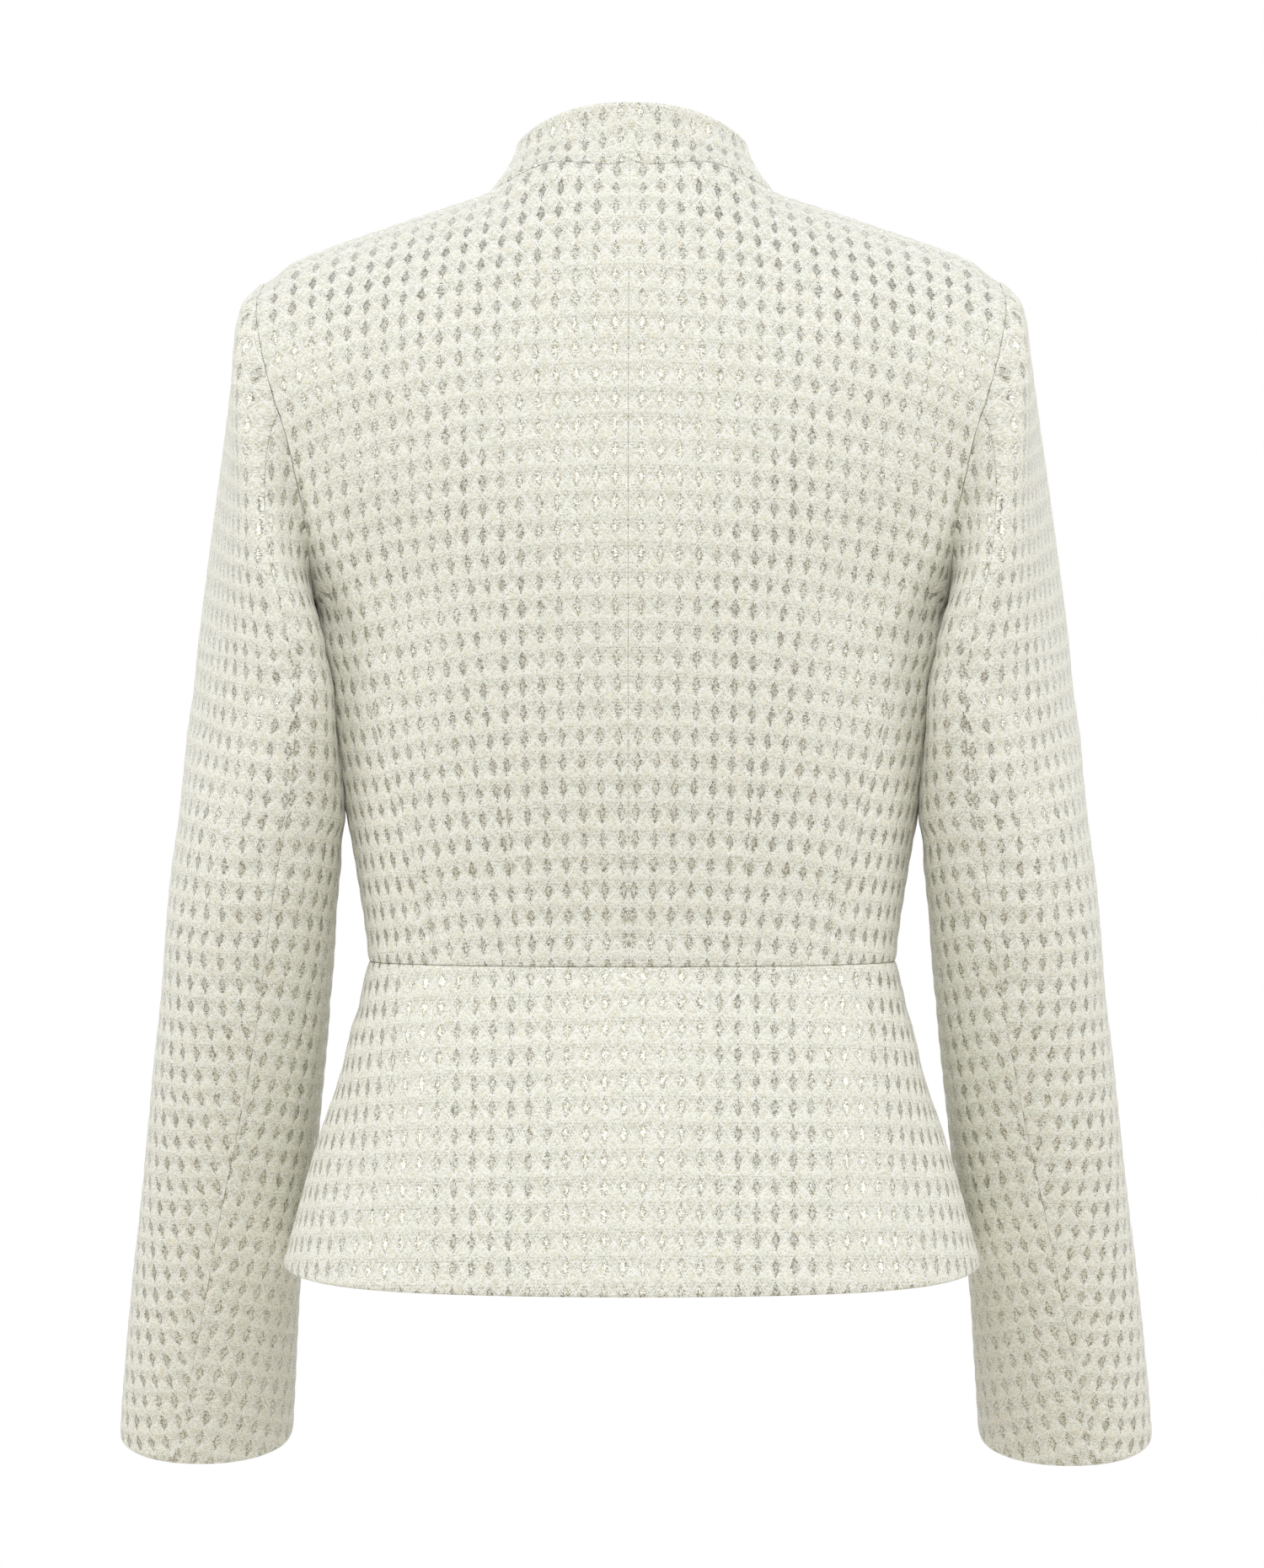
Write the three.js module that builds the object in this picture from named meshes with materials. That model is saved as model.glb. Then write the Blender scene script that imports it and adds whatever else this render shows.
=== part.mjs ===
// A fitted jacket with a stand collar, padded two-piece sleeves, a waist seam and a flared peplum.
// It stands open and hollow, as on a wearer: every piece of cloth is a wall of one thickness.
// Millimetres. +Z is up, the front faces -Y and the wearer's left is +X. The origin is the middle of
// the neck opening, level with the seam at the nape.
import * as THREE from "three";

const WALL = 2.6; // the outer cloth with what backs it
const SEAM_GAP = 0.3; // between two pieces at a seam
const NECK_GAP = 0.6; // the collar's own, as its foot twists most

const WAIST = -407.5; // heights of the main levels
const HEM = -570;
const UNDERARM = -217;
const BICEP = -250; // where the sleeve head ends and the plain tube starts
const CUFF = -667;
const SIDE_BACK_TOP = -199; // where the side back seam meets the armhole
const ACROSS = { back: -125, front: -140 }; // the widest level over the shoulder blades and the chest
const QUARTER = Math.PI / 2;

// Girth sections. side, chest: half widths of the back and of the front, which above the underarm carry on
// as if there were no armhole. sideY: where the side seam lies. back, front: how far out the centre back and
// centre front are. backFull, frontFull: 2 is an ellipse, and more is squarer.
const BODICE = [
  { z: -407.5, side: 137.5, chest: 137.5, sideY: -4, back: 88, front: -103, backFull: 2.25, frontFull: 2.2 },
  { z: -385, side: 140.2, chest: 140.2, sideY: -5, back: 90, front: -105, backFull: 2.25, frontFull: 2.2 },
  { z: -345, side: 146.5, chest: 146.5, sideY: -8, back: 96, front: -110, backFull: 2.25, frontFull: 2.25 },
  { z: -300, side: 153, chest: 153, sideY: -11, back: 103, front: -116, backFull: 2.25, frontFull: 2.3 },
  { z: -250, side: 157.5, chest: 157.5, sideY: -12, back: 108, front: -120, backFull: 2.2, frontFull: 2.3 },
  { z: -217, side: 160, chest: 160, sideY: -12, back: 110, front: -119, backFull: 2.15, frontFull: 2.2 },
  { z: -188, side: 176, chest: 176, sideY: -11, back: 110, front: -114.5, backFull: 2.07, frontFull: 2.1 },
  { z: -157, side: 201, chest: 190, sideY: -8, back: 108, front: -105.5, backFull: 2.0, frontFull: 2.03 },
  { z: -125, side: 223, chest: 205, sideY: -4, back: 104, front: -93, backFull: 1.95, frontFull: 2.0 },
];
const PEPLUM = [
  { z: -407.5, side: 137.5, sideY: -4, back: 88, front: -103, backFull: 2.25, frontFull: 2.2 },
  { z: -425, side: 141.7, sideY: -3, back: 93, front: -106, backFull: 2.25, frontFull: 2.2 },
  { z: -460, side: 151, sideY: 0, back: 103, front: -110, backFull: 2.25, frontFull: 2.2 },
  { z: -513, side: 166.5, sideY: 3, back: 117, front: -116, backFull: 2.2, frontFull: 2.15 },
  { z: -570, side: 181.5, sideY: 5, back: 131, front: -122, backFull: 2.2, frontFull: 2.1 },
];
const SIDE_LIFT = 5; // how much higher the hem hangs at the sides

// Soft rounds that darts give: where each is highest, how far it spreads and how high it stands.
const BUST = { x: 88, z: -246, wide: 46, tall: 52, rise: 9 };
const SHOULDER_BLADE = { x: 84, z: -160, wide: 50, tall: 55, rise: 3 };

// Armhole: an oval from the shoulder tip to the underarm.
const ARMHOLE = { topX: 196, topY: 2, topZ: -49, lowY: -12, back: 63, front: -53, full: 2.2 };

// The neckline is an oval seen from above, cut out of the rise of the shoulders, and the collar stands on it.
const NECK = { side: 75, back: 58, front: -62, drop: 7 };
const COLLAR = { side: 60.3, back: 50, front: -59, rise: 34.8, sideRise: 19.4, frontTall: 29, flare: 1.7 };
const NECK_SHARE = 0.38; // share of each half row, from the centre, that ends on the neckline
const SHOULDER_CROWN = 0.8; // how far the padded shoulder line bows up

// How the yoke reaches the shoulder line. level, steep: its slope there, beside the neck and at the middle.
// ridge: how far the line would climb on over the neck, were there no hole for it. pull: its fullness.
const YOKE = {
  back: { level: 0.04, steep: 0.3, ridge: 25, pull: 1.15 },
  front: { level: 0.04, steep: 1.6, ridge: 7, pull: 1 },
};

// Side back seam: its angle round the body at the waist. It swings out to the armhole as a parabola.
const SIDE_BACK_TURN = (45 * Math.PI) / 180;

// Sleeve sections. outer, inner: x of the two sides. y: centre. depth: half size front to back.
// slant: how far the back of the ring turns in to the body. tip: how far its back drops as the arm bends.
// seam: where the back seam runs, in degrees round the sleeve from its outer side.
const SLEEVE = [
  { z: -250, outer: 224.6, inner: 160.1, y: 0, depth: 61, slant: 0.33, tip: 0, seam: 92 },
  { z: -290, outer: 230.2, inner: 156.6, y: -1, depth: 58, slant: 0.33, tip: 0, seam: 95 },
  { z: -328, outer: 236.2, inner: 151.2, y: -4, depth: 55, slant: 0.22, tip: 0.03, seam: 98 },
  { z: -372, outer: 242.3, inner: 154.3, y: -10, depth: 51.5, slant: 0.1, tip: 0.1, seam: 101 },
  { z: -425, outer: 249, inner: 158.8, y: -22, depth: 48, slant: 0.03, tip: 0.18, seam: 102 },
  { z: -478, outer: 255.5, inner: 164.7, y: -38, depth: 45, slant: 0, tip: 0.26, seam: 97.5 },
  { z: -531, outer: 262.3, inner: 171.2, y: -56, depth: 42, slant: 0, tip: 0.32, seam: 89.5 },
  { z: -583, outer: 269.8, inner: 179.3, y: -74, depth: 39.5, slant: 0, tip: 0.35, seam: 85.5 },
  { z: -636, outer: 276.4, inner: 183.6, y: -93, depth: 37.5, slant: 0, tip: 0.36, seam: 77.5 },
  { z: -667, outer: 279.7, inner: 186.1, y: -104, depth: 36.5, slant: 0, tip: 0.36, seam: 72 },
];
const SLEEVE_FULL = 2.15;
const FRONT_SEAM = 222;
// How the sleeve head leaves the armhole: its direction, and its pull against the way to the bicep.
const HEAD = {
  top: { way: [1, 0, -0.06], pull: 0.2 },
  back: { way: [0.45, 0.05, -0.9], pull: 0.8 },
  low: { way: [0.08, 0, -1], pull: 0.9 },
  front: { way: [0.6, -0.15, -0.8], pull: 0.8 },
};

// How many strips each stretch of cloth is faceted in.
const STRIPS = {
  toSideSeam: 8, // waist to underarm
  lowArmhole: 3, // up to the across level
  yoke: 5, // across level to shoulder
  neck: 5,
  shoulder: 4,
  sideBack: 4,
  frontArmhole: 6,
  peplum: 5,
  collar: 3,
  head: 5,
  sleeve: 11,
};

const CREAM = { color: 0xecead6, roughness: 0.85, metalness: 0 };

const mix = (a, b, t) => a + (b - a) * t;
const rad = (degrees) => (degrees * Math.PI) / 180;
const steps = (from, to, count) => Array.from({ length: count + 1 }, (_, i) => mix(from, to, i / count));
const vec = (x, y, z) => new THREE.Vector3(x, y, z);

// ---- tables read as smooth curves -----------------------------------------------------------------

// Every column of a table of sections at height z, on a smooth curve through its rows.
function section(table, z) {
  const down = table[0].z > table[1].z ? 1 : -1;
  let i = table.findIndex((row) => (row.z - z) * down <= 0);
  i = Math.min(Math.max(i < 0 ? table.length - 1 : i, 1), table.length - 1);
  const rows = [table[i - 2] ?? table[i - 1], table[i - 1], table[i], table[i + 1] ?? table[i]];
  const span = rows[2].z - rows[1].z;
  const t = (z - rows[1].z) / span;
  const read = { z };
  for (const key of Object.keys(table[0])) {
    if (key === "z") continue;
    const slope = (a, b) => ((b[key] - a[key]) / (b.z - a.z)) * span;
    read[key] = hermite(rows[1][key], slope(rows[0], rows[2]), rows[2][key], slope(rows[1], rows[3]), t);
  }
  return read;
}

function hermite(a, leave, b, arrive, t) {
  const s = 1 - t;
  return a * s * s * (1 + 2 * t) + leave * t * s * s + b * t * t * (3 - 2 * t) - arrive * t * t * s;
}

function hermiteVec(a, leave, b, arrive, t) {
  return vec(...["x", "y", "z"].map((k) => hermite(a[k], leave[k], b[k], arrive[k], t)));
}

// Radius of a rounded square of fullness n at an angle, as a share of an ellipse's.
const fullness = (turn, n) => (Math.abs(Math.sin(turn)) ** n + Math.abs(Math.cos(turn)) ** n) ** (-1 / n);

// ---- body -----------------------------------------------------------------------------------------

// How far the armhole's edge is from front to back at height z, behind (facing 1) or before (-1) the arm.
function armholeY(z, facing) {
  const middle = (ARMHOLE.topZ + UNDERARM) / 2;
  const high = (z - UNDERARM) / (ARMHOLE.topZ - UNDERARM);
  const q = Math.min(Math.abs((z - middle) / (ARMHOLE.topZ - middle)), 1);
  const bow = (1 - q ** ARMHOLE.full) ** (1 / ARMHOLE.full);
  return mix(ARMHOLE.lowY, ARMHOLE.topY, high) + (facing > 0 ? ARMHOLE.back : ARMHOLE.front) * bow;
}

// The section of the body at height z: a rounded half ring, which above the underarm stops at the armhole.
function bodyRow(table, z, facing) {
  const row = section(table, z);
  const reach = (facing > 0 ? row.back : row.front) - row.sideY;
  const full = facing > 0 ? row.backFull : row.frontFull;
  const half = facing > 0 ? row.side : (row.chest ?? row.side);
  const whole = { table, z, facing, sideY: row.sideY, reach, full, half, end: QUARTER };
  if (z <= UNDERARM) return whole;
  const along = Math.max((armholeY(z, facing) - row.sideY) / reach, 0);
  return { ...whole, end: Math.atan2((1 - along ** full) ** (1 / full), along) };
}

const hemShare = (z) => (WAIST - z) / (WAIST - HEM);

// A point of a section, turned from the centre towards the side, with the soft round of its dart.
function onRow(row, turn) {
  const k = fullness(turn, row.full);
  const x = row.half * k * Math.sin(turn);
  const y = row.sideY + row.reach * k * Math.cos(turn);
  const round = row.facing > 0 ? SHOULDER_BLADE : BUST;
  const away = ((x - round.x) / round.wide) ** 2 + ((row.z - round.z) / round.tall) ** 2;
  const lift = row.table === PEPLUM ? SIDE_LIFT * Math.sin(turn) ** 8 * hemShare(row.z) : 0;
  return vec(x, y + row.facing * round.rise * Math.exp(-away) * Math.cos(turn) ** 0.5, row.z + lift);
}

// The top of the shoulders, from the centre out: over the neck, then along the shoulder seam.
function shoulderLine(share, ridge) {
  const slope = (ARMHOLE.topZ + NECK.drop) / (ARMHOLE.topX - NECK.side);
  const out = (share - NECK_SHARE) / (1 - NECK_SHARE);
  if (out < 0) {
    const x = (NECK.side * share) / NECK_SHARE;
    return vec(x, 0, -NECK.drop + slope * (x - NECK.side) + ridge * (1 - (x / NECK.side) ** 2) ** 1.5);
  }
  const x = mix(NECK.side, ARMHOLE.topX, out);
  const z = -NECK.drop + slope * (x - NECK.side) + SHOULDER_CROWN * Math.sin(out * Math.PI);
  return vec(x, ARMHOLE.topY * out, z);
}

const acrossLevel = (facing) => (facing > 0 ? ACROSS.back : ACROSS.front);

function bodyPoint(facing, share, z) {
  const row = bodyRow(BODICE, z, facing);
  return onRow(row, share * row.end);
}

// The whole yoke rises from the across level (0) and rolls over to the top of the shoulders (1).
function wholeYoke(facing, share, rise) {
  const level = acrossLevel(facing);
  const from = bodyPoint(facing, share, level);
  const leave = from.clone().sub(bodyPoint(facing, share, level - 4)).normalize();
  const way = facing > 0 ? YOKE.back : YOKE.front;
  const to = shoulderLine(share, way.ridge);
  const overNeck = (1 - Math.min(share / NECK_SHARE, 1) ** 2) ** 1.5;
  const arrive = vec(0, -facing, mix(way.level, way.steep, overNeck)).normalize();
  const reach = from.distanceTo(to) * way.pull;
  return hermiteVec(from, leave.multiplyScalar(reach), to, arrive.multiplyScalar(reach), rise);
}

// How far up the whole yoke its edge is: at the neckline's oval, or beyond it at the shoulder seam.
const cutCache = new Map();
function yokeCut(facing, share) {
  if (share >= NECK_SHARE) return 1;
  const key = facing * (share + 1);
  if (!cutCache.has(key)) {
    let [low, high] = [0, 1];
    for (let i = 0; i < 40; i++) {
      const rise = (low + high) / 2;
      const p = wholeYoke(facing, share, rise);
      const inside = Math.hypot(p.x / NECK.side, p.y / (facing > 0 ? NECK.back : NECK.front)) < 1;
      [low, high] = inside ? [low, rise] : [rise, high];
    }
    cutCache.set(key, (low + high) / 2);
  }
  return cutCache.get(key);
}

const yokePoint = (facing, share, rise) => wholeYoke(facing, share, rise * yokeCut(facing, share));

function sideBackTurn(z) {
  const end = bodyRow(BODICE, SIDE_BACK_TOP, 1).end;
  return mix(SIDE_BACK_TURN, end, ((z - WAIST) / (SIDE_BACK_TOP - WAIST)) ** 2);
}

// ---- sleeve ---------------------------------------------------------------------------------------

// A ring of the plain tube, turned from its outer side (0) through the back (90 degrees).
function tubePoint(turn, z) {
  const row = section(SLEEVE, z);
  const k = fullness(turn, SLEEVE_FULL);
  const half = (row.outer - row.inner) / 2;
  const back = row.depth * k * Math.sin(turn);
  const x = row.inner + half + half * k * Math.cos(turn) - row.slant * back;
  return vec(x, row.y + back, z - row.tip * back);
}

// The sleeve head runs from a point of the armhole (0) to the bicep ring (1).
function headPoint(start, turn, down) {
  const c = Math.cos(turn);
  const s = Math.sin(turn);
  const shares = { top: Math.max(c, 0) ** 2, back: Math.max(s, 0) ** 2 };
  shares.low = Math.max(-c, 0) ** 2;
  shares.front = Math.max(-s, 0) ** 2;
  const way = vec(0, 0, 0);
  let pull = 0;
  for (const [side, share] of Object.entries(shares)) {
    way.addScaledVector(vec(...HEAD[side].way), share);
    pull += HEAD[side].pull * share;
  }
  const end = tubePoint(turn, BICEP);
  const span = start.distanceTo(end);
  const arrive = tubePoint(turn, BICEP - 4).sub(end).normalize();
  return hermiteVec(
    start,
    way.normalize().multiplyScalar(span * pull),
    end,
    arrive.multiplyScalar(span * mix(1, 1.4, shares.top)),
    down,
  );
}

// ---- panels as grids of points on the outer face ---------------------------------------------------

// The angle round the arm, from the top through the back, of the armhole at a height below the tip.
function armTurn(z, facing) {
  const middle = (ARMHOLE.topZ + UNDERARM) / 2;
  const q = Math.min(Math.max((z - middle) / (ARMHOLE.topZ - middle), -1), 1);
  const bow = (1 - Math.abs(q) ** ARMHOLE.full) ** (1 / ARMHOLE.full);
  return facing * Math.atan2(bow, q);
}

// Heights between two levels that space points evenly along the armhole's curve.
function armholeLevels(low, high, facing, count) {
  const middle = (ARMHOLE.topZ + UNDERARM) / 2;
  const turns = steps(Math.abs(armTurn(low, facing)), Math.abs(armTurn(high, facing)), count);
  const half = ARMHOLE.topZ - middle;
  return turns.map((turn) => middle + half * fullness(turn, ARMHOLE.full) * Math.cos(turn));
}

const neckShares = steps(0, QUARTER, STRIPS.neck).map((turn) => NECK_SHARE * Math.sin(turn));
const halfShares = [...neckShares, ...steps(NECK_SHARE, 1, STRIPS.shoulder).slice(1)];
const yokeRises = steps(0, 1, STRIPS.yoke).slice(1);

function backGrid() {
  const low = steps(WAIST, SIDE_BACK_TOP, STRIPS.toSideSeam);
  const high = armholeLevels(SIDE_BACK_TOP, ACROSS.back, 1, STRIPS.lowArmhole).slice(1);
  const rows = [...low, ...high].map((z) => {
    const row = bodyRow(BODICE, z, 1);
    const edge = z < SIDE_BACK_TOP ? sideBackTurn(z) : row.end;
    return halfShares.map((share) => onRow(row, share * edge));
  });
  return [...rows, ...yokeRises.map((rise) => halfShares.map((share) => yokePoint(1, share, rise)))];
}

// The side back ends at the top on the low armhole, so its columns end at different heights there.
const sideBackTops = armholeLevels(SIDE_BACK_TOP, UNDERARM, 1, STRIPS.sideBack);
function sideBackGrid() {
  const seam = steps(WAIST, SIDE_BACK_TOP, STRIPS.toSideSeam);
  return seam.map((z, i) =>
    steps(0, 1, STRIPS.sideBack).map((share, j) => {
      const row = bodyRow(BODICE, mix(WAIST, sideBackTops[j], i / STRIPS.toSideSeam), 1);
      const inner = sideBackTurn(z) / bodyRow(BODICE, z, 1).end;
      return onRow(row, mix(inner, 1, share) * row.end);
    }),
  );
}

const frontArmLevels = armholeLevels(UNDERARM, ACROSS.front, -1, STRIPS.frontArmhole);
function frontGrid() {
  const heights = [...steps(WAIST, UNDERARM, STRIPS.toSideSeam), ...frontArmLevels.slice(1)];
  const rows = heights.map((z) => halfShares.map((share) => bodyPoint(-1, share, z)));
  return [...rows, ...yokeRises.map((rise) => halfShares.map((share) => yokePoint(-1, share, rise)))];
}

function collarGrid(facing) {
  const edge = facing > 0 ? COLLAR.back / NECK.back : COLLAR.front / NECK.front;
  return steps(0, 1, STRIPS.collar).map((up) =>
    neckShares.map((share) => {
      const from = yokePoint(facing, share, 1);
      const round = share / NECK_SHARE;
      const top =
        facing > 0
          ? mix(COLLAR.rise, COLLAR.sideRise, round ** 2.4)
          : from.z + mix(COLLAR.frontTall, COLLAR.sideRise + NECK.drop, round ** 2);
      const lean = 1 - (1 - up) ** COLLAR.flare;
      const narrow = mix(1, COLLAR.side / NECK.side, lean);
      return vec(from.x * narrow, from.y * mix(1, edge, lean), mix(from.z, top, up));
    }),
  );
}

// Angles of the waist ring's columns, so that the peplum's line up with the pieces above.
const backTurns = [
  ...halfShares.map((share) => share * SIDE_BACK_TURN),
  ...steps(SIDE_BACK_TURN, QUARTER, STRIPS.sideBack).slice(1),
];
const frontTurns = halfShares.map((share) => share * QUARTER);

function peplumGrid(facing) {
  return steps(HEM, WAIST, STRIPS.peplum).map((z) => {
    const row = bodyRow(PEPLUM, z, facing);
    return (facing > 0 ? backTurns : frontTurns).map((turn) => onRow(row, turn));
  });
}

// The armhole as a loop of points with their angles, from the tip down the back and up the front.
function armholeLoop() {
  const rises = [...yokeRises].reverse();
  const yoke = (facing) => rises.map((rise) => yokePoint(facing, 1, rise));
  const turnsTo = (facing) => {
    const last = Math.abs(armTurn(acrossLevel(facing), facing));
    return steps(0, last, STRIPS.yoke).slice(0, -1);
  };
  const backLow = [
    ...armholeLevels(ACROSS.back, SIDE_BACK_TOP, 1, STRIPS.lowArmhole),
    ...sideBackTops.slice(1),
  ];
  const frontLow = [...frontArmLevels].reverse();
  const back = [
    ...yoke(1).map((point, i) => ({ point, turn: turnsTo(1)[i] })),
    ...backLow.map((z) => ({ point: bodyPoint(1, 1, z), turn: armTurn(z, 1) })),
  ];
  const front = [
    ...yoke(-1).map((point, i) => ({ point, turn: -turnsTo(-1)[i] })),
    ...frontLow.slice(0, -1).map((z) => ({ point: bodyPoint(-1, 1, z), turn: armTurn(z, -1) })),
  ];
  return { back, front };
}

// Both sleeve pieces as one set of columns, from the front seam over the top and the back to it again.
function sleeveGrids() {
  const { back, front } = armholeLoop();
  const backSeamAt = STRIPS.yoke; // the across back level
  const frontSeamAt = front.length - 3;
  const upper = [...front.slice(1, frontSeamAt + 1).reverse(), ...back.slice(0, backSeamAt + 1)];
  const wrapped = front.slice(frontSeamAt).map(({ point, turn }) => ({ point, turn: turn + 4 * QUARTER }));
  const under = [...back.slice(backSeamAt), ...wrapped.reverse()];
  const grid = (columns) => {
    const first = columns[0].turn;
    const last = columns[columns.length - 1].turn;
    // the columns drift round the arm as they go down, so that the seams keep their own lines
    const drift = (turn, z) => {
      const back = rad(section(SLEEVE, z).seam);
      const [from, to] = columns === upper ? [rad(FRONT_SEAM) - 4 * QUARTER, back] : [back, rad(FRONT_SEAM)];
      return mix(from, to, (turn - first) / (last - first));
    };
    const head = steps(0, 1, STRIPS.head).map((down) =>
      columns.map(({ point, turn }) => {
        const to = drift(turn, BICEP);
        return headPoint(point, mix(turn, to, down), down);
      }),
    );
    const tube = steps(BICEP, CUFF, STRIPS.sleeve)
      .slice(1)
      .map((z) => columns.map(({ turn }) => tubePoint(drift(turn, z), z)));
    return [...head, ...tube];
  };
  return { upper: grid(upper), under: grid(under) };
}

// ---- walls from grids -----------------------------------------------------------------------------

const mirrored = (grid) => grid.map((row) => row.map((p) => vec(-p.x, p.y, p.z)));
const joined = (half) => half.map((row, i) => [...mirrored(half)[i].slice(1).reverse(), ...row]);

// The outward normal of each point of a grid, from the faces round it.
function gridNormals(grid, sign) {
  return grid.map((row, i) =>
    row.map((_, j) => {
      const clamped = (k, last) => Math.min(Math.max(k, 0), last);
      const at = (di, dj) => grid[clamped(i + di, grid.length - 1)][clamped(j + dj, row.length - 1)];
      const along = at(0, 1).clone().sub(at(0, -1));
      const up = at(1, 0).clone().sub(at(-1, 0));
      return along.cross(up).normalize().multiplyScalar(sign);
    }),
  );
}

// Which way out is: away from the axis of the body, or of the arm at that height.
function outwardSign(grid, isSleeve) {
  const i = Math.floor(grid.length / 2);
  const j = Math.floor(grid[0].length / 2);
  const p = grid[i][j];
  const n = gridNormals(grid, 1)[i][j];
  const centre = vec(0, -5, p.z);
  if (isSleeve) {
    const row = section(SLEEVE, p.z);
    centre.set((Math.sign(p.x) * (row.outer + row.inner)) / 2, row.y, p.z);
  }
  return Math.sign(n.dot(p.clone().sub(centre)));
}

const SAME_POINT = 0.01;
const FOLDED_BACK = 0.3; // where normals agree less than this, body, arm and collar keep their own
const LEAST_MITRE = 0.6; // so that a wall never grows past its thickness over this at a seam

// Gives pieces that meet at a seam one shared direction for their end faces.
function mitreSeams(panels) {
  const ends = [];
  for (const panel of panels)
    panel.grid.forEach((row, i) =>
      row.forEach((point, j) => {
        if (i && j && i < panel.grid.length - 1 && j < row.length - 1) return;
        ends.push({ panel, i, j, point, normal: panel.normals[i][j] });
      }),
    );
  for (const { panel, i, j, point, normal } of ends) {
    const met = ends.filter((other) => point.distanceTo(other.point) < SAME_POINT);
    const folded = met.some((a) => met.some((b) => a.normal.dot(b.normal) < FOLDED_BACK));
    const shared = vec(0, 0, 0);
    for (const other of met) if (!folded || other.panel.group === panel.group) shared.add(other.normal);
    shared.normalize();
    panel.walls[i][j] = shared.divideScalar(Math.max(shared.dot(normal), LEAST_MITRE));
  }
}

// Moves the edge points of a grid into the piece by half of the seam gap.
function drawnIn(grid, gap) {
  const rows = grid.length - 1;
  const columns = grid[0].length - 1;
  const inset = (p, inner, before, after) => {
    const edge = after.clone().sub(before).normalize();
    const into = inner.clone().sub(p);
    into.addScaledVector(edge, -into.dot(edge)).setLength(gap / 2);
    return into;
  };
  return grid.map((row, i) =>
    row.map((p, j) => {
      const moved = p.clone();
      const clampI = (k) => Math.min(Math.max(k, 0), rows);
      const clampJ = (k) => Math.min(Math.max(k, 0), columns);
      if (i === 0 || i === rows)
        moved.add(inset(p, grid[i ? i - 1 : 1][j], row[clampJ(j - 1)], row[clampJ(j + 1)]));
      if (j === 0 || j === columns)
        moved.add(inset(p, row[j ? j - 1 : 1], grid[clampI(i - 1)][j], grid[clampI(i + 1)][j]));
      return moved;
    }),
  );
}

// One closed wall: the grid as its outer face, and the same grid moved in by the wall as its inner one.
function wallGeometry(panel) {
  const outer = drawnIn(panel.grid, panel.gap ?? SEAM_GAP);
  const rows = outer.length;
  const columns = outer[0].length;
  const inner = outer.map((row, i) => row.map((p, j) => p.clone().addScaledVector(panel.walls[i][j], -WALL)));
  const points = [...outer, ...inner].flat();
  const at = (face, i, j) => (face * rows + i) * columns + j;
  const index = [];
  const quad = (a, b, c, d) => index.push(...(panel.sign > 0 ? [a, b, c, a, c, d] : [a, c, b, a, d, c]));
  for (let i = 0; i + 1 < rows; i++)
    for (let j = 0; j + 1 < columns; j++) {
      quad(at(0, i, j), at(0, i, j + 1), at(0, i + 1, j + 1), at(0, i + 1, j));
      quad(at(1, i, j), at(1, i + 1, j), at(1, i + 1, j + 1), at(1, i, j + 1));
    }
  for (let j = 0; j + 1 < columns; j++) {
    quad(at(0, 0, j), at(1, 0, j), at(1, 0, j + 1), at(0, 0, j + 1));
    quad(at(0, rows - 1, j), at(0, rows - 1, j + 1), at(1, rows - 1, j + 1), at(1, rows - 1, j));
  }
  for (let i = 0; i + 1 < rows; i++) {
    quad(at(0, i, 0), at(0, i + 1, 0), at(1, i + 1, 0), at(1, i, 0));
    const last = columns - 1;
    quad(at(0, i, last), at(1, i, last), at(1, i + 1, last), at(0, i + 1, last));
  }
  const geometry = new THREE.BufferGeometry();
  const positions = points.flatMap((p) => p.toArray());
  geometry.setAttribute("position", new THREE.Float32BufferAttribute(positions, 3));
  geometry.setIndex(index);
  geometry.computeVertexNormals();
  return geometry;
}

// ---- the jacket -----------------------------------------------------------------------------------

const sleeves = sleeveGrids();
const collarHalf = (() => {
  const back = collarGrid(1);
  const front = collarGrid(-1);
  return back.map((row, i) => [...row, ...front[i].slice(0, -1).reverse()]);
})();

const paired = {
  back: backGrid(),
  side_back: sideBackGrid(),
  front: frontGrid(),
  peplum_front: peplumGrid(-1),
  upper_sleeve: sleeves.upper,
  under_sleeve: sleeves.under,
};

const panels = [
  { name: "collar", grid: joined(collarHalf), gap: NECK_GAP },
  { name: "peplum_back", grid: joined(peplumGrid(1)) },
];
for (const [name, grid] of Object.entries(paired)) {
  panels.push({ name: name + "_left", grid });
  panels.push({ name: name + "_right", grid: mirrored(grid) });
}
for (const panel of panels) {
  panel.group = /sleeve|collar|peplum/.exec(panel.name)?.[0] ?? "body";
  panel.sign = outwardSign(panel.grid, panel.group === "sleeve");
  panel.normals = gridNormals(panel.grid, panel.sign);
  panel.walls = panel.normals.map((row) => row.map((n) => n.clone()));
}
mitreSeams(panels);

const jacket = new THREE.Group();
for (const panel of panels) {
  const mesh = new THREE.Mesh(wallGeometry(panel), new THREE.MeshStandardMaterial(CREAM));
  mesh.name = panel.name;
  jacket.add(mesh);
}

export default jacket;
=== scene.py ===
"""A fitted jacket with a stand collar, padded two-piece sleeves, a waist seam and a flared peplum."""

import math

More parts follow.
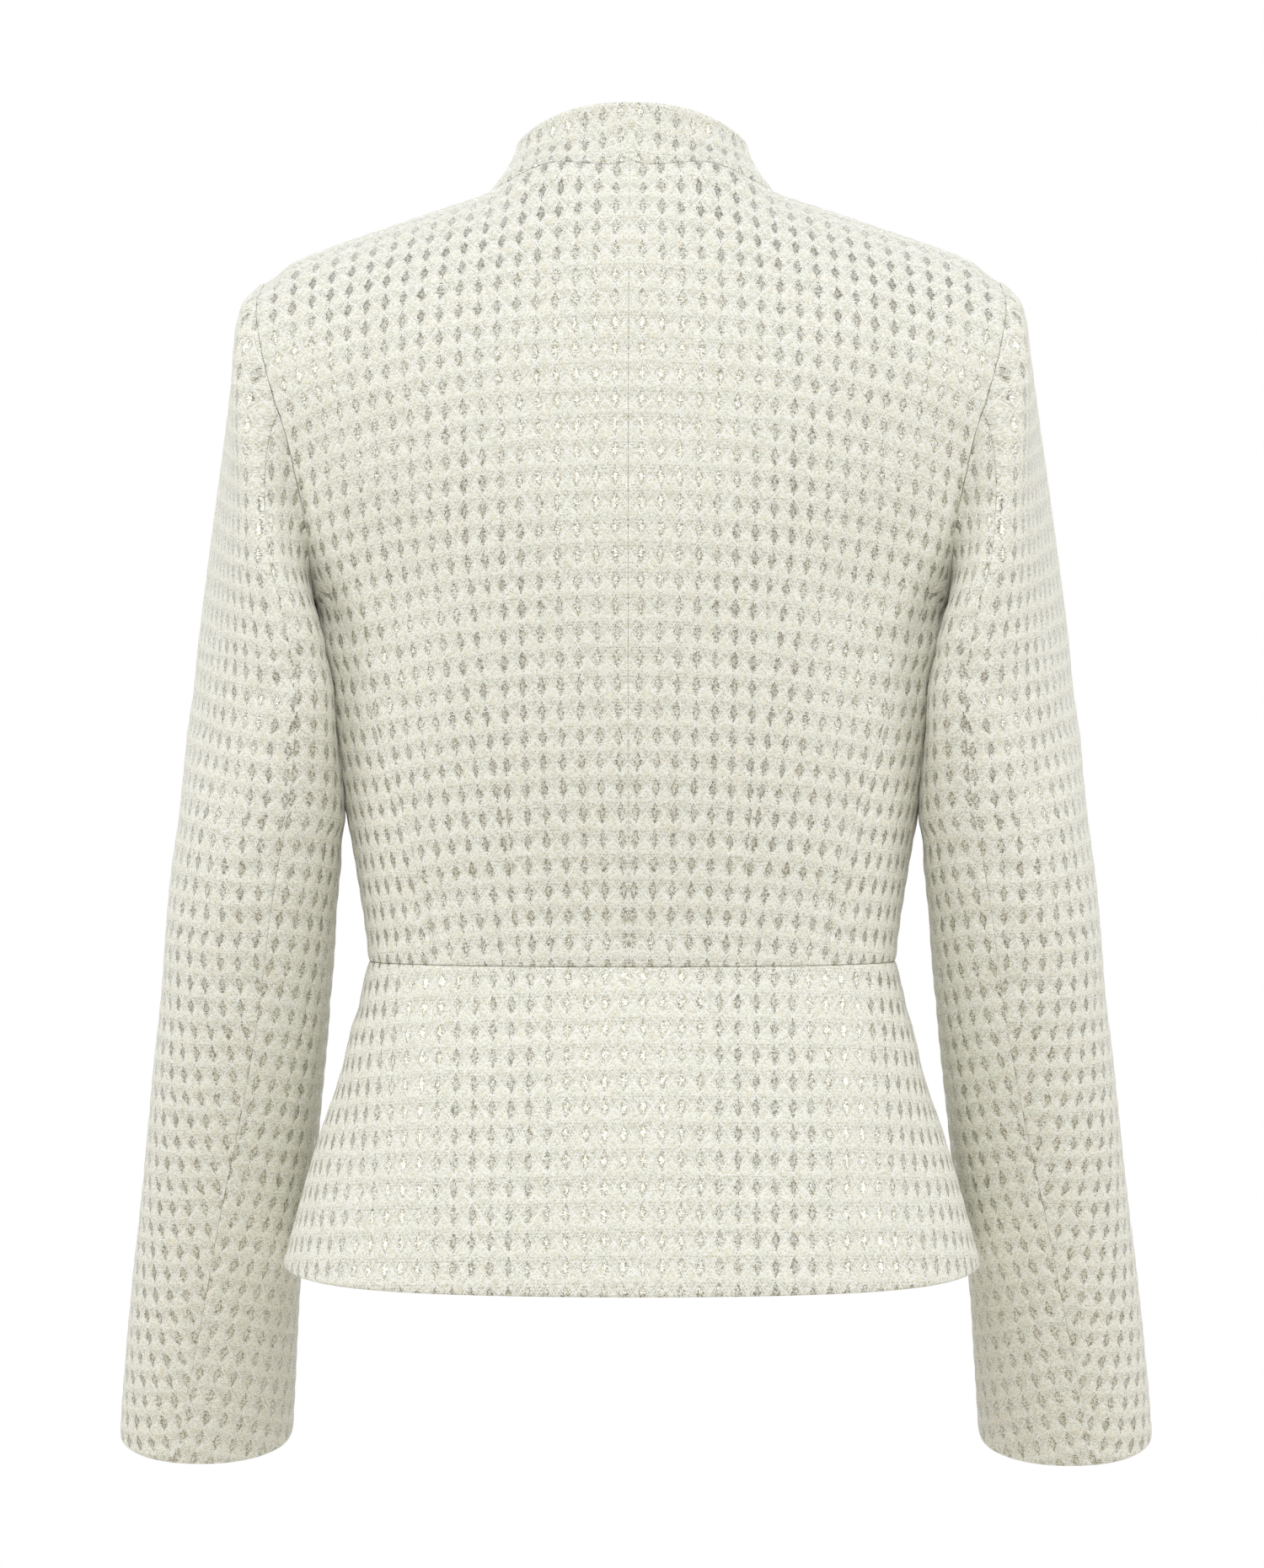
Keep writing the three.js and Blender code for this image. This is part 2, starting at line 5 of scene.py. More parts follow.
import bmesh
import bpy
import numpy as np
from bpy.props import FloatProperty, FloatVectorProperty, PointerProperty
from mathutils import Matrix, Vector


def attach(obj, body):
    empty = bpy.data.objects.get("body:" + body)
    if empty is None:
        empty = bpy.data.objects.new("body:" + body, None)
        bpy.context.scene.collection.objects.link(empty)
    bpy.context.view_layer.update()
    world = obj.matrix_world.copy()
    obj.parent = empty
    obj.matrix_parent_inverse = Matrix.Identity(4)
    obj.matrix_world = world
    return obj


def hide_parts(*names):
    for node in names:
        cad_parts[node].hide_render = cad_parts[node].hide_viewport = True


bl_info = {
    "name": "Stand Collar Jacket",
    "version": (1, 0, 0),
    "blender": (4, 5, 0),
    "location": "3D View > Sidebar > Jacket",
    "description": "Sews a fitted peplum jacket of puffed weave round its solid pieces",
    "category": "Object",
}

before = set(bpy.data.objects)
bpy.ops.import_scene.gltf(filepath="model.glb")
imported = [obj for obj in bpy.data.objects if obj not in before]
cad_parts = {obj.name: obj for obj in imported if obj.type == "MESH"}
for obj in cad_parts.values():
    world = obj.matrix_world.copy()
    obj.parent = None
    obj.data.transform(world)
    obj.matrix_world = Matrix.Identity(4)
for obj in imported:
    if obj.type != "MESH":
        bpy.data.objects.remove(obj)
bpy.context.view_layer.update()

MM = 0.001  # tables and shapes are in millimetres, Blender in metres

# ---- the cut: the same sizes as the solid pieces, in millimetres ----

WAIST, HEM, UNDERARM, BICEP, CUFF = -407.5, -570.0, -217.0, -250.0, -667.0
SIDE_BACK_TOP = -199.0
ACROSS = {1: -125.0, -1: -140.0}  # the level at which the yoke begins, behind (1) and in front (-1)
QUARTER = math.pi / 2
SIDE_LIFT = 5.0
NECK_SHARE = 0.38
SHOULDER_CROWN = 0.8
SIDE_BACK_TURN = math.radians(45)
SLEEVE_FULL = 2.15
FRONT_SEAM = math.radians(222)


def table(columns, *rows):
    """Named columns of numbers, ordered by height."""
    rows = sorted(rows)
    return {name: np.array(values, float) for name, values in zip(columns.split(), zip(*rows))}


BODICE = table(
    "z side chest side_y back front back_full front_full",
    (-407.5, 137.5, 137.5, -4, 88, -103, 2.25, 2.2),
    (-385, 140.2, 140.2, -5, 90, -105, 2.25, 2.2),
    (-345, 146.5, 146.5, -8, 96, -110, 2.25, 2.25),
    (-300, 153, 153, -11, 103, -116, 2.25, 2.3),
    (-250, 157.5, 157.5, -12, 108, -120, 2.2, 2.3),
    (-217, 160, 160, -12, 110, -119, 2.15, 2.2),
    (-188, 176, 176, -11, 110, -114.5, 2.07, 2.1),
    (-157, 201, 190, -8, 108, -105.5, 2.0, 2.03),
    (-125, 223, 205, -4, 104, -93, 1.95, 2.0),
)
PEPLUM = table(
    "z side side_y back front back_full front_full",
    (-407.5, 137.5, -4, 88, -103, 2.25, 2.2),
    (-425, 141.7, -3, 93, -106, 2.25, 2.2),
    (-460, 151, 0, 103, -110, 2.25, 2.2),
    (-513, 166.5, 3, 117, -116, 2.2, 2.15),
    (-570, 181.5, 5, 131, -122, 2.2, 2.1),
)
SLEEVE = table(
    "z outer inner y depth slant tip seam",
    (-250, 224.6, 160.1, 0, 61, 0.33, 0, 92),
    (-290, 230.2, 156.6, -1, 58, 0.33, 0, 95),
    (-328, 236.2, 151.2, -4, 55, 0.22, 0.03, 98),
    (-372, 242.3, 154.3, -10, 51.5, 0.1, 0.1, 101),
    (-425, 249, 158.8, -22, 48, 0.03, 0.18, 102),
    (-478, 255.5, 164.7, -38, 45, 0, 0.26, 97.5),
    (-531, 262.3, 171.2, -56, 42, 0, 0.32, 89.5),
    (-583, 269.8, 179.3, -74, 39.5, 0, 0.35, 85.5),
    (-636, 276.4, 183.6, -93, 37.5, 0, 0.36, 77.5),
    (-667, 279.7, 186.1, -104, 36.5, 0, 0.36, 72),
)
BUST = {"x": 88, "z": -246, "wide": 46, "tall": 52, "rise": 9}
SHOULDER_BLADE = {"x": 84, "z": -160, "wide": 50, "tall": 55, "rise": 3}
ARMHOLE = {"top": (196, 2, -49), "low_y": -12, "back": 63, "front": -53, "full": 2.2}
ARMHOLE_MIDDLE = (ARMHOLE["top"][2] + UNDERARM) / 2
ARMHOLE_HALF = ARMHOLE["top"][2] - ARMHOLE_MIDDLE
NECK = {"side": 75, "back": 58, "front": -62, "drop": 7}
COLLAR = {
    "side": 60.3, "back": 50, "front": -59, "rise": 34.8, "side_rise": 19.4, "front_tall": 29, "flare": 1.7
}
YOKE = {
    1: {"level": 0.04, "steep": 0.3, "ridge": 25, "pull": 1.15},
    -1: {"level": 0.04, "steep": 1.6, "ridge": 7, "pull": 1.0},
}
HEAD = (  # how the sleeve head leaves the armhole: where, direction, pull
    ("top", (1, 0, -0.06), 0.2),
    ("back", (0.45, 0.05, -0.9), 0.8),
    ("low", (0.08, 0, -1), 0.9),
    ("front", (0.6, -0.15, -0.8), 0.8),
)

# ---- smooth curves and surfaces ----


def mix(a, b, t):
    return a + (b - a) * t


def hermite(a, leave, b, arrive, t):
    s = 1 - t
    return a * s * s * (1 + 2 * t) + leave * t * s * s + b * t * t * (3 - 2 * t) - arrive * t * t * s


def swell(value, middle, wide, power=2):
    """A bump of height 1: rounded for a power of 2, with a flatter top for a power of 4."""
    return np.exp(-(((value - middle) / wide) ** power))


def section(columns, z):
    """Every column of a table at the heights z, on a smooth curve through its rows."""
    z = np.asarray(z, float)
    heights = columns["z"]
    last = len(heights) - 1
    i = np.clip(np.searchsorted(heights, z), 1, last)
    before, after = np.maximum(i - 2, 0), np.minimum(i + 1, last)
    span = heights[i] - heights[i - 1]
    t = (z - heights[i - 1]) / span

    def read(column):
        leave = (column[i] - column[before]) / (heights[i] - heights[before]) * span
        arrive = (column[after] - column[i - 1]) / (heights[after] - heights[i - 1]) * span
        return hermite(column[i - 1], leave, column[i], arrive, t)

    return {name: read(column) for name, column in columns.items()}


def fullness(turn, n):
    """Radius of a rounded square of fullness n at an angle, as a share of an ellipse's."""
    return (np.abs(np.sin(turn)) ** n + np.abs(np.cos(turn)) ** n) ** (-1 / n)


def points(x, y, z):
    return np.stack(np.broadcast_arrays(x, y, z), axis=-1).astype(float)


def unit(v):
    return v / np.maximum(np.linalg.norm(v, axis=-1, keepdims=True), 1e-12)


def armhole_y(z, facing):
    """How far back or forward the armhole's edge lies at a height."""
    high = (z - UNDERARM) / (ARMHOLE["top"][2] - UNDERARM)
    q = np.minimum(np.abs((z - ARMHOLE_MIDDLE) / ARMHOLE_HALF), 1)
    bow = (1 - q ** ARMHOLE["full"]) ** (1 / ARMHOLE["full"])
    return mix(ARMHOLE["low_y"], ARMHOLE["top"][1], high) + ARMHOLE["back" if facing > 0 else "front"] * bow


def body_row(columns, z, facing):
    """The half sections at heights z, and the angle at which each ends on the side or the armhole."""
    row = section(columns, z)
    reach = (row["back"] if facing > 0 else row["front"]) - row["side_y"]
    full = row["back_full"] if facing > 0 else row["front_full"]
    half = row["side"] if facing > 0 or "chest" not in row else row["chest"]
    along = np.where(z > UNDERARM, np.maximum((armhole_y(z, facing) - row["side_y"]) / reach, 0), 0)
    along = np.minimum(along, 1)
    end = np.arctan2((1 - along**full) ** (1 / full), along)
    return {"z": z, "side_y": row["side_y"], "reach": reach, "full": full, "half": half, "end": end}


def on_row(row, turn, facing, flared=False):
    k = fullness(turn, row["full"])
    x = row["half"] * k * np.sin(turn)
    y = row["side_y"] + row["reach"] * k * np.cos(turn)
    rounds = SHOULDER_BLADE if facing > 0 else BUST
    away = ((x - rounds["x"]) / rounds["wide"]) ** 2 + ((row["z"] - rounds["z"]) / rounds["tall"]) ** 2
    lift = SIDE_LIFT * np.sin(turn) ** 8 * (WAIST - row["z"]) / (WAIST - HEM) if flared else 0
    fuller = facing * rounds["rise"] * np.exp(-away) * np.maximum(np.cos(turn), 0) ** 0.5
    return points(x, y + fuller, row["z"] + lift)


def body(facing, share, z):
    z = np.asarray(z, float)
    row = body_row(BODICE, z, facing)
    return on_row(row, share * row["end"], facing)


def whole_yoke(facing, share, rise):
    """The yoke as if there were no neck hole: from the across level (0) to the top of the shoulders (1)."""
    share, rise = np.broadcast_arrays(np.asarray(share, float), np.asarray(rise, float))
    level = ACROSS[facing]
    way = YOKE[facing]
    start = body(facing, share, level + 0 * share)
    leave = unit(start - body(facing, share, level - 4 + 0 * share))
    tip_x, tip_y, tip_z = ARMHOLE["top"]
    slope = (tip_z + NECK["drop"]) / (tip_x - NECK["side"])
    out = (share - NECK_SHARE) / (1 - NECK_SHARE)
    over = np.clip(1 - (share / NECK_SHARE) ** 2, 0, 1) ** 1.5
    x = np.where(out < 0, NECK["side"] * share / NECK_SHARE, mix(NECK["side"], tip_x, out))
    out = np.maximum(out, 0)
    crown = SHOULDER_CROWN * np.sin(out * math.pi)
    end = points(x, tip_y * out, -NECK["drop"] + slope * (x - NECK["side"]) + way["ridge"] * over + crown)
    arrive = unit(points(0, -facing, mix(way["level"], way["steep"], over)))
    reach = np.linalg.norm(end - start, axis=-1, keepdims=True) * way["pull"]
    return hermite(start, leave * reach, end, arrive * reach, rise[..., None])


def yoke_cut(facing, share):
    """How far up the whole yoke its top edge is, at each share of the half row."""
    low, high = np.zeros_like(share), np.ones_like(share)
    for _ in range(30):
        rise = (low + high) / 2
        p = whole_yoke(facing, share, rise)
        y_size = NECK["back"] if facing > 0 else NECK["front"]
        inside = np.hypot(p[..., 0] / NECK["side"], p[..., 1] / y_size) < 1
        high, low = np.where(inside, rise, high), np.where(inside, low, rise)
    return np.where(share >= NECK_SHARE, 1.0, (low + high) / 2)


def yoke(facing, share, rise):
    share = np.asarray(share, float)
    return whole_yoke(facing, share, rise * yoke_cut(facing, share))


def side_back_turn(z):
    end = body_row(BODICE, np.array(SIDE_BACK_TOP), 1)["end"]
    return mix(SIDE_BACK_TURN, end, ((z - WAIST) / (SIDE_BACK_TOP - WAIST)) ** 2)


def tube(turn, z):
    row = section(SLEEVE, z)
    k = fullness(turn, SLEEVE_FULL)
    half = (row["outer"] - row["inner"]) / 2
    back = row["depth"] * k * np.sin(turn)
    x = row["inner"] + half + half * k * np.cos(turn) - row["slant"] * back
    return points(x, row["y"] + back, z - row["tip"] * back)


def arm_turn(z):
    """The angle round the arm, from the top, of the armhole at height z."""
    q = np.clip((z - ARMHOLE_MIDDLE) / ARMHOLE_HALF, -1, 1)
    return np.arctan2((1 - np.abs(q) ** ARMHOLE["full"]) ** (1 / ARMHOLE["full"]), q)


def arm_height(turn):
    """The armhole's height at an angle round the arm."""
    return ARMHOLE_MIDDLE + ARMHOLE_HALF * fullness(turn, ARMHOLE["full"]) * np.cos(turn)


def armhole(turn):
    """The armhole's point at an angle from the top, positive behind the arm."""
    turn = (turn + math.pi) % (2 * math.pi) - math.pi
    found = np.zeros(turn.shape + (3,))
    for facing, level in ACROSS.items():
        here = turn >= 0 if facing > 0 else turn < 0
        angle = np.abs(turn)
        last = float(arm_turn(level))
        upper = yoke(facing, np.ones_like(angle), np.clip(1 - angle / last, 0, 1))
        lower = body(facing, np.ones_like(angle), arm_height(angle))
        one = np.where((angle < last)[..., None], upper, lower)
        found = np.where(here[..., None], one, found)
    return found


def head(start, turn, down):
    """The sleeve head, from the armhole (0) to the bicep (1)."""
    c, s = np.cos(turn), np.sin(turn)
    shares = {"top": np.maximum(c, 0) ** 2, "back": np.maximum(s, 0) ** 2}
    shares["low"], shares["front"] = np.maximum(-c, 0) ** 2, np.maximum(-s, 0) ** 2
    way = sum(shares[side][..., None] * np.array(direction, float) for side, direction, _ in HEAD)
    pull = sum(shares[side] * strength for side, _, strength in HEAD)
    end = tube(turn, BICEP + 0 * turn)
    span = np.linalg.norm(end - start, axis=-1)
    arrive = unit(tube(turn, BICEP - 4 + 0 * turn) - end)
    leave = unit(way) * (span * pull)[..., None]
    arrive = arrive * (span * mix(1, 1.4, shares["top"]))[..., None]
    return hermite(start, leave, end, arrive, down[..., None])


# ---- grids of cloth ----
# A grid is an array of points, its rows going up the cloth and its columns across it.

ROOM = {  # about how long each part of the cloth is, in millimetres, to count its grid lines
    "yoke": 125.0,
    "half_row": 175.0,
    "side_back": (88.0, 209.0),
    "peplum_half": (215.0, 168.0),
    "collar_half": (220.0, 35.0),
    "sleeve_head": 110.0,
    "sleeve_tube": 430.0,
    "upper_sleeve": 250.0,
    "under_sleeve": 125.0,
}
EDGE_STEPS = (0.05, 0.5, 1.0, 1.7, 2.6, 3.8)  # finer lines along each edge, so that it can round off
DARTS = {  # heights, and how far out the waist dart lies at each
    1: ((-407.5, 54), (-330, 62), (-260, 69), (-196, 70)),
    -1: ((-407.5, 62), (-340, 74), (-290, 84), (-262, 87)),
}


def lines(length, step, from_edge=True, to_edge=True):
    """Shares from 0 to 1 for grid lines a step apart over a length, finer beside its edges."""
    edge = np.array(EDGE_STEPS) / length
    first = edge if from_edge else np.zeros(1)
    last = 1 - edge[::-1] if to_edge else np.ones(1)
    count = max(round((last[0] - first[-1]) * length / step), 2)
    return np.concatenate([first[:-1], np.linspace(first[-1], last[0], count + 1), last[1:]])


def lines_through(share, length, step):
    """Grid lines over a length that has a seam or a dart at one share of it, and the index of that line."""
    before = lines(share * length, step) * share
    after = share + lines((1 - share) * length, step) * (1 - share)
    return np.concatenate([before[:-1], [share], after[1:]]), len(before) - 1


def mirrored(half):
    """A whole grid from the half that starts at the middle."""
    return np.concatenate([half[:, :0:-1] * (-1, 1, 1), half], axis=1)


def run_across(grid):
    """Running length along each row of a grid."""
    return np.cumsum(np.pad(np.linalg.norm(np.diff(grid, axis=1), axis=-1), [(0, 0), (1, 0)]), axis=1)


def run_up(grid, square=True):
    """Running length up a grid: square to its rows, or along its columns."""
    move = np.diff(grid, axis=0)
    if square:
        across = unit(np.gradient(grid, axis=1))
        tangent = unit(across[1:] + across[:-1])
        move = move - tangent * np.sum(move * tangent, axis=-1, keepdims=True)
    return np.cumsum(np.pad(np.linalg.norm(move, axis=-1), [(1, 0), (0, 0)]), axis=0)


def outward(grid):
    """The directions square to the cloth at a grid's points."""
    return unit(np.cross(np.gradient(grid, axis=1), np.gradient(grid, axis=0)))


def column(values):
    """A row's facts as a column, so that they spread along a grid's rows."""
    return {key: value[:, None] if np.ndim(value) else value for key, value in values.items()}


def dart_share(dart, row, edge):
    """The share of each half row at which a dart lies, eased to the neck's corner above it."""
    heights, places = np.array(dart).T
    q = np.interp(row["z"], heights, places) / row["half"]
    turn = np.arctan2(q, (1 - q ** row["full"]) ** (1 / row["full"]))
    above = np.clip((row["z"] - heights[-1]) / (row["z"][-1] - heights[-1]), 0, 1)
    return mix(turn / edge, NECK_SHARE, above * above * (3 - 2 * above))


def half_body(facing, step):
    """Half of the back or the front, from its centre out, with a column down its waist dart.

    Gives the grid, the number of its rows below the yoke, the dart's column and each row's height."""
    level = ACROSS[facing]
    height, yoke_height = level - WAIST, ROOM["yoke"]
    up = lines(height + yoke_height, step) * (height + yoke_height)
    z = WAIST + up[up <= height]
    rises = (up[up > height] - height) / yoke_height
    shares, dart_at = lines_through(NECK_SHARE, ROOM["half_row"], step)
    row = body_row(BODICE, z, facing)
    edge = np.where(z < SIDE_BACK_TOP, side_back_turn(z), row["end"]) if facing > 0 else row["end"]
    fold = dart_share(DARTS[facing], row, edge)[:, None]
    bent = np.where(
        shares < NECK_SHARE,
        fold * shares / NECK_SHARE,
        fold + (1 - fold) * (shares - NECK_SHARE) / (1 - NECK_SHARE),
    )
    low = on_row(column(row), bent * edge[:, None], facing)
    high = whole_yoke(facing, shares[None, :], rises[:, None] * yoke_cut(facing, shares)[None, :])
    return np.concatenate([low, high]), len(z), dart_at, z


def half_side_back(step):
    wide, tall = ROOM["side_back"]
    v = lines(tall, step)[:, None]
    share = lines(wide, step)[None, :]
    first, last = float(arm_turn(SIDE_BACK_TOP)), float(arm_turn(UNDERARM))
    top = arm_height(mix(first, last, share))
    seam_z = mix(WAIST, SIDE_BACK_TOP, v)
    inner = side_back_turn(seam_z) / body_row(BODICE, seam_z, 1)["end"]
    row = body_row(BODICE, mix(WAIST, top, v), 1)
    return on_row(row, mix(inner, 1, share) * row["end"], 1)


def half_peplum(facing, step):
    """The peplum from the middle out to one side seam."""
    wide, tall = ROOM["peplum_half"]
    z = mix(HEM, WAIST, lines(tall, step))
    turns = lines(wide, step, from_edge=facing < 0) * QUARTER
    return on_row(column(body_row(PEPLUM, z, facing)), turns[None, :], facing, flared=True)


def half_collar(step):
    """The collar from the middle of the back round to the middle of the front."""
    wide, tall = ROOM["collar_half"]
    around = lines(wide, step, from_edge=False)[None, :] * 2 * QUARTER
    up = lines(tall, step * 0.8)[:, None]
    grids = []
    for facing in (1, -1):
        turn = around if facing > 0 else 2 * QUARTER - around
        turn = np.clip(turn, 0, QUARTER)
        rounded = np.sin(turn)
        start = yoke(facing, NECK_SHARE * rounded, 1.0)
        edge = COLLAR["back"] / NECK["back"] if facing > 0 else COLLAR["front"] / NECK["front"]
        if facing > 0:
            top = mix(COLLAR["rise"], COLLAR["side_rise"], rounded**2.4)
        else:
            top = start[..., 2] + mix(COLLAR["front_tall"], COLLAR["side_rise"] + NECK["drop"], rounded**2)
        lean = 1 - (1 - up) ** COLLAR["flare"]
        x = start[..., 0] * mix(1, COLLAR["side"] / NECK["side"], lean)
        grids.append(points(x, start[..., 1] * mix(1, edge, lean), mix(start[..., 2], top, up)))
    return np.where((around <= QUARTER)[..., None], *grids)


def sleeve_grid(upper, step):
    """One of the two sleeve pieces, and the angle round the arm of each of its points."""
    back_seam = float(arm_turn(ACROSS[1]))
    front_seam = -(float(arm_turn(ACROSS[-1])) + math.pi) / 2
    first, last = (front_seam, back_seam) if upper else (back_seam, front_seam + 4 * QUARTER)
    across = lines(ROOM["upper_sleeve" if upper else "under_sleeve"], step)[None, :]
    turn = mix(first, last, across)
    head_room, tube_room = ROOM["sleeve_head"], ROOM["sleeve_tube"]
    down = lines(head_room + tube_room, step)[:, None] * (head_room + tube_room)
    z = BICEP + (CUFF - BICEP) * np.clip((down - head_room) / tube_room, 0, 1)
    seam = np.radians(section(SLEEVE, z)["seam"])
    low, high = (FRONT_SEAM - 4 * QUARTER, seam) if upper else (seam, FRONT_SEAM)
    drifted = mix(low, high, across)
    in_head = np.clip(down / head_room, 0, 1)
    start = armhole(turn + 0 * down)
    turns = mix(turn, drifted, in_head)
    grid = np.where((down < head_room)[..., None], head(start, turns, in_head), tube(turns, z))
    return grid[::-1], turns[::-1], z[::-1]


# ---- how the woven repeat lies on each piece ----


def smooth_after(x):
    """Nothing before 0, then rising more and more like a straight line."""
    return np.log1p(np.exp(np.clip(x / 30, -30, 30))) * 30


def body_weave(grid, low_rows, dart_at, z, facing):
    """Millimetres across and up the weave on the back or the front, and the dart's intake on each row."""
    low, more = grid[:low_rows], len(grid) - low_rows
    across = run_across(low)
    seam = 3.0 + 5.6 * np.clip((-165 - z) / 242, 0, 1) ** 1.7 if facing > 0 else 4.8 + 0 * z
    across = np.concatenate([across, np.repeat(across[-1:], more, axis=0)])
    over = np.clip(across / 130, 0, 1.6) ** 2
    heights = np.concatenate([z, np.full(more, z[-1])])[:, None]
    up = np.concatenate([run_up(low), np.zeros((more, grid.shape[1]))])
    up[low_rows:] = up[low_rows - 1] + run_up(grid[low_rows - 1 :], square=False)[1:]
    frown = mix(9.0, 12.0, (heights - WAIST) / (z[-1] - WAIST)) if facing > 0 else 7.0
    tip = DARTS[facing][-1][0]
    intake = 23.0 * np.clip((tip - heights[:, 0]) / (tip - WAIST), 0, 1)
    seam = np.concatenate([seam, np.full(more, seam[-1])])[:, None]
    return across + seam, up + frown * over, intake


def flat_fan(grid, middle, radius):
    """A flared piece laid flat, as a sector whose waist has this radius: millimetres across and up."""
    across = run_across(grid)
    at = np.array([np.interp(middle, row[:, 0], run) for row, run in zip(grid, across)])
    across = across - at[:, None]
    down = run_up(grid)[-1:] - run_up(grid)
    turn = across / (radius + down)
    fanned = radius - (radius + down) * np.cos(turn)
    return (radius + down) * np.sin(turn), mix(-down, fanned, 0.35)


def sleeve_weave(grid, turns, z, upper):
    """Millimetres across and up the weave on a sleeve piece, whose columns follow the tube.

    On the sleeve head its rows stay level and its columns go over the top."""
    at = np.abs(turns - (0.0 if upper else math.pi)).argmin(axis=1)
    rows = np.arange(len(grid))
    in_head = np.isclose(z, BICEP)
    bicep = int(np.argmax(in_head[:, 0]))
    across = run_across(grid)
    across = across - across[rows, at][:, None]
    up = run_up(grid)
    up = up - up[bicep]

    ring = tube(np.linspace(0, 4 * QUARTER, 73)[:-1], BICEP + np.zeros(72))
    away = grid[..., :2] - ring.mean(axis=0)[:2]
    turned = np.unwrap(np.arctan2(away[..., 1], away[..., 0]), axis=1)
    turned -= 4 * QUARTER * np.rint((turned[rows, at] - turned[bicep, at[bicep]]) / (4 * QUARTER))[:, None]
    radius = np.linalg.norm(away, axis=-1)
    order = np.argsort(turned[bicep])
    known, arc, size = turned[bicep][order], across[bicep][order], radius[bicep][order]
    beyond = turned - np.clip(turned, known[0], known[-1])
    around = np.interp(turned, known, arc) + beyond * np.interp(turned, known, size)
    across = np.where(in_head, around * radius / np.interp(turned, known, size), across)
    down = np.linspace(1, 0, 60)
    crown = head(armhole(0 * down), 0 * down, down)
    climbed = np.concatenate([[0], np.cumsum(np.linalg.norm(np.diff(crown, axis=0), axis=-1))])
    up = np.where(in_head, np.interp(grid[..., 2], crown[:, 2], climbed), up)

    past_elbow = smooth_after(-400 - z)
    lean = -0.27 if upper else 0.2
    tilts = (-0.1, 0.02, 0.17, 0.17) if upper else (0.12, 0.1, 0.05, 0)
    tilt = np.interp(z[:, 0], (CUFF, -450, BICEP, 0), tilts)
    return across + lean * past_elbow, up + tilt[:, None] * across


# ---- cloth pieces ----

# Soft creases, each with its place across and up, its direction in degrees, and how long, wide and deep it
# is in millimetres. Those of the paired pieces are for the wearer's left and are mirrored.
BODY_CREASES = (
    (146, -236, 27, 44, 7, -1.5),
    (139, -264, 19, 30, 6, -1.0),
    (150, -205, 62, 36, 8, 1.1),
    (97, -371, -13, 36, 7, -1.1),
    (112, -392, -6, 24, 5, -0.8),
    (31, -386, 7, 27, 6, -0.7),
    (118, -118, 74, 52, 12, -0.9),
    (46, -64, -9, 40, 8, -0.7),
)
SLEEVE_CREASES = (
    (178, -262, -34, 34, 7, -1.4),
    (176, -352, -18, 32, 6, -1.7),
    (183, -385, -8, 27, 5, -1.3),
    (190, -421, 12, 29, 6, -1.4),
    (214, -300, 66, 56, 10, -1.0),
    (240, -372, 81, 40, 9, 1.0),
    (236, -472, 80, 62, 9, -1.0),
    (226, -590, 84, 50, 8, -0.8),
)
PEPLUM_CREASES = (
    (142, -497, 77, 46, 14, -1.6),
    (104, -470, 82, 60, 16, 1.4),
    (58, -487, 86, 52, 15, -1.2),
    (152, -425, 30, 24, 6, -0.9),
)

EDGES = {  # how far the left, right, bottom and top edge of each piece turns in, in millimetres
    "back": (0.12, 0.18, 0.5, 0.6),
    "front": (1.1, 0.18, 0.5, 0.6),
    "side_back": (0.45, 0.6, 0.6, 1.0),
    "peplum_back": (0.6, 0.6, 1.2, 0.35),
    "peplum_front": (1.1, 0.6, 1.2, 0.35),
    "collar": (1.2, 1.2, 0.8, 1.2),
    "upper_sleeve": (0.15, 0.15, 1.2, 0.2),
    "under_sleeve": (0.15, 0.15, 1.2, 0.2),
}
EDGE_ROUND = 3.4  # how wide the rounding of an edge is
CALM = 5  # how far from an edge or a dart's end the puffs are still pressed flat


def rounded_off(distance, depth, wide):
    """How far the cloth turns in at a distance from an edge: a quarter round, deepest at the edge."""
    return depth * (1 - np.sqrt(1 - (1 - np.clip(distance / wide, 0, 1)) ** 2))


def edge_distances(grid):
    """Distances of each point from the left, right, bottom and top edges along the grid."""
    across, up = run_across(grid), run_up(grid, square=False)
    return across, across[:, -1:] - across, up, up[-1:] - up


def crease_depths(grid, creases):
    """Sum of soft troughs and ridges: each has a place, a direction, a length, a width and a depth."""
    depth = np.zeros(grid.shape[:2])
    for x, z, angle, long, wide, deep in creases:
        c, s = math.cos(math.radians(angle)), math.sin(math.radians(angle))
        across, up = grid[..., 0] - x, grid[..., 2] - z
        along, off = across * c + up * s, -across * s + up * c
        bow = off + 0.06 * along * along / long  # a slight curve, as a real crease has
        depth += deep * swell(along, 0, long, 4) * swell(bow, 0, wide)
    return depth


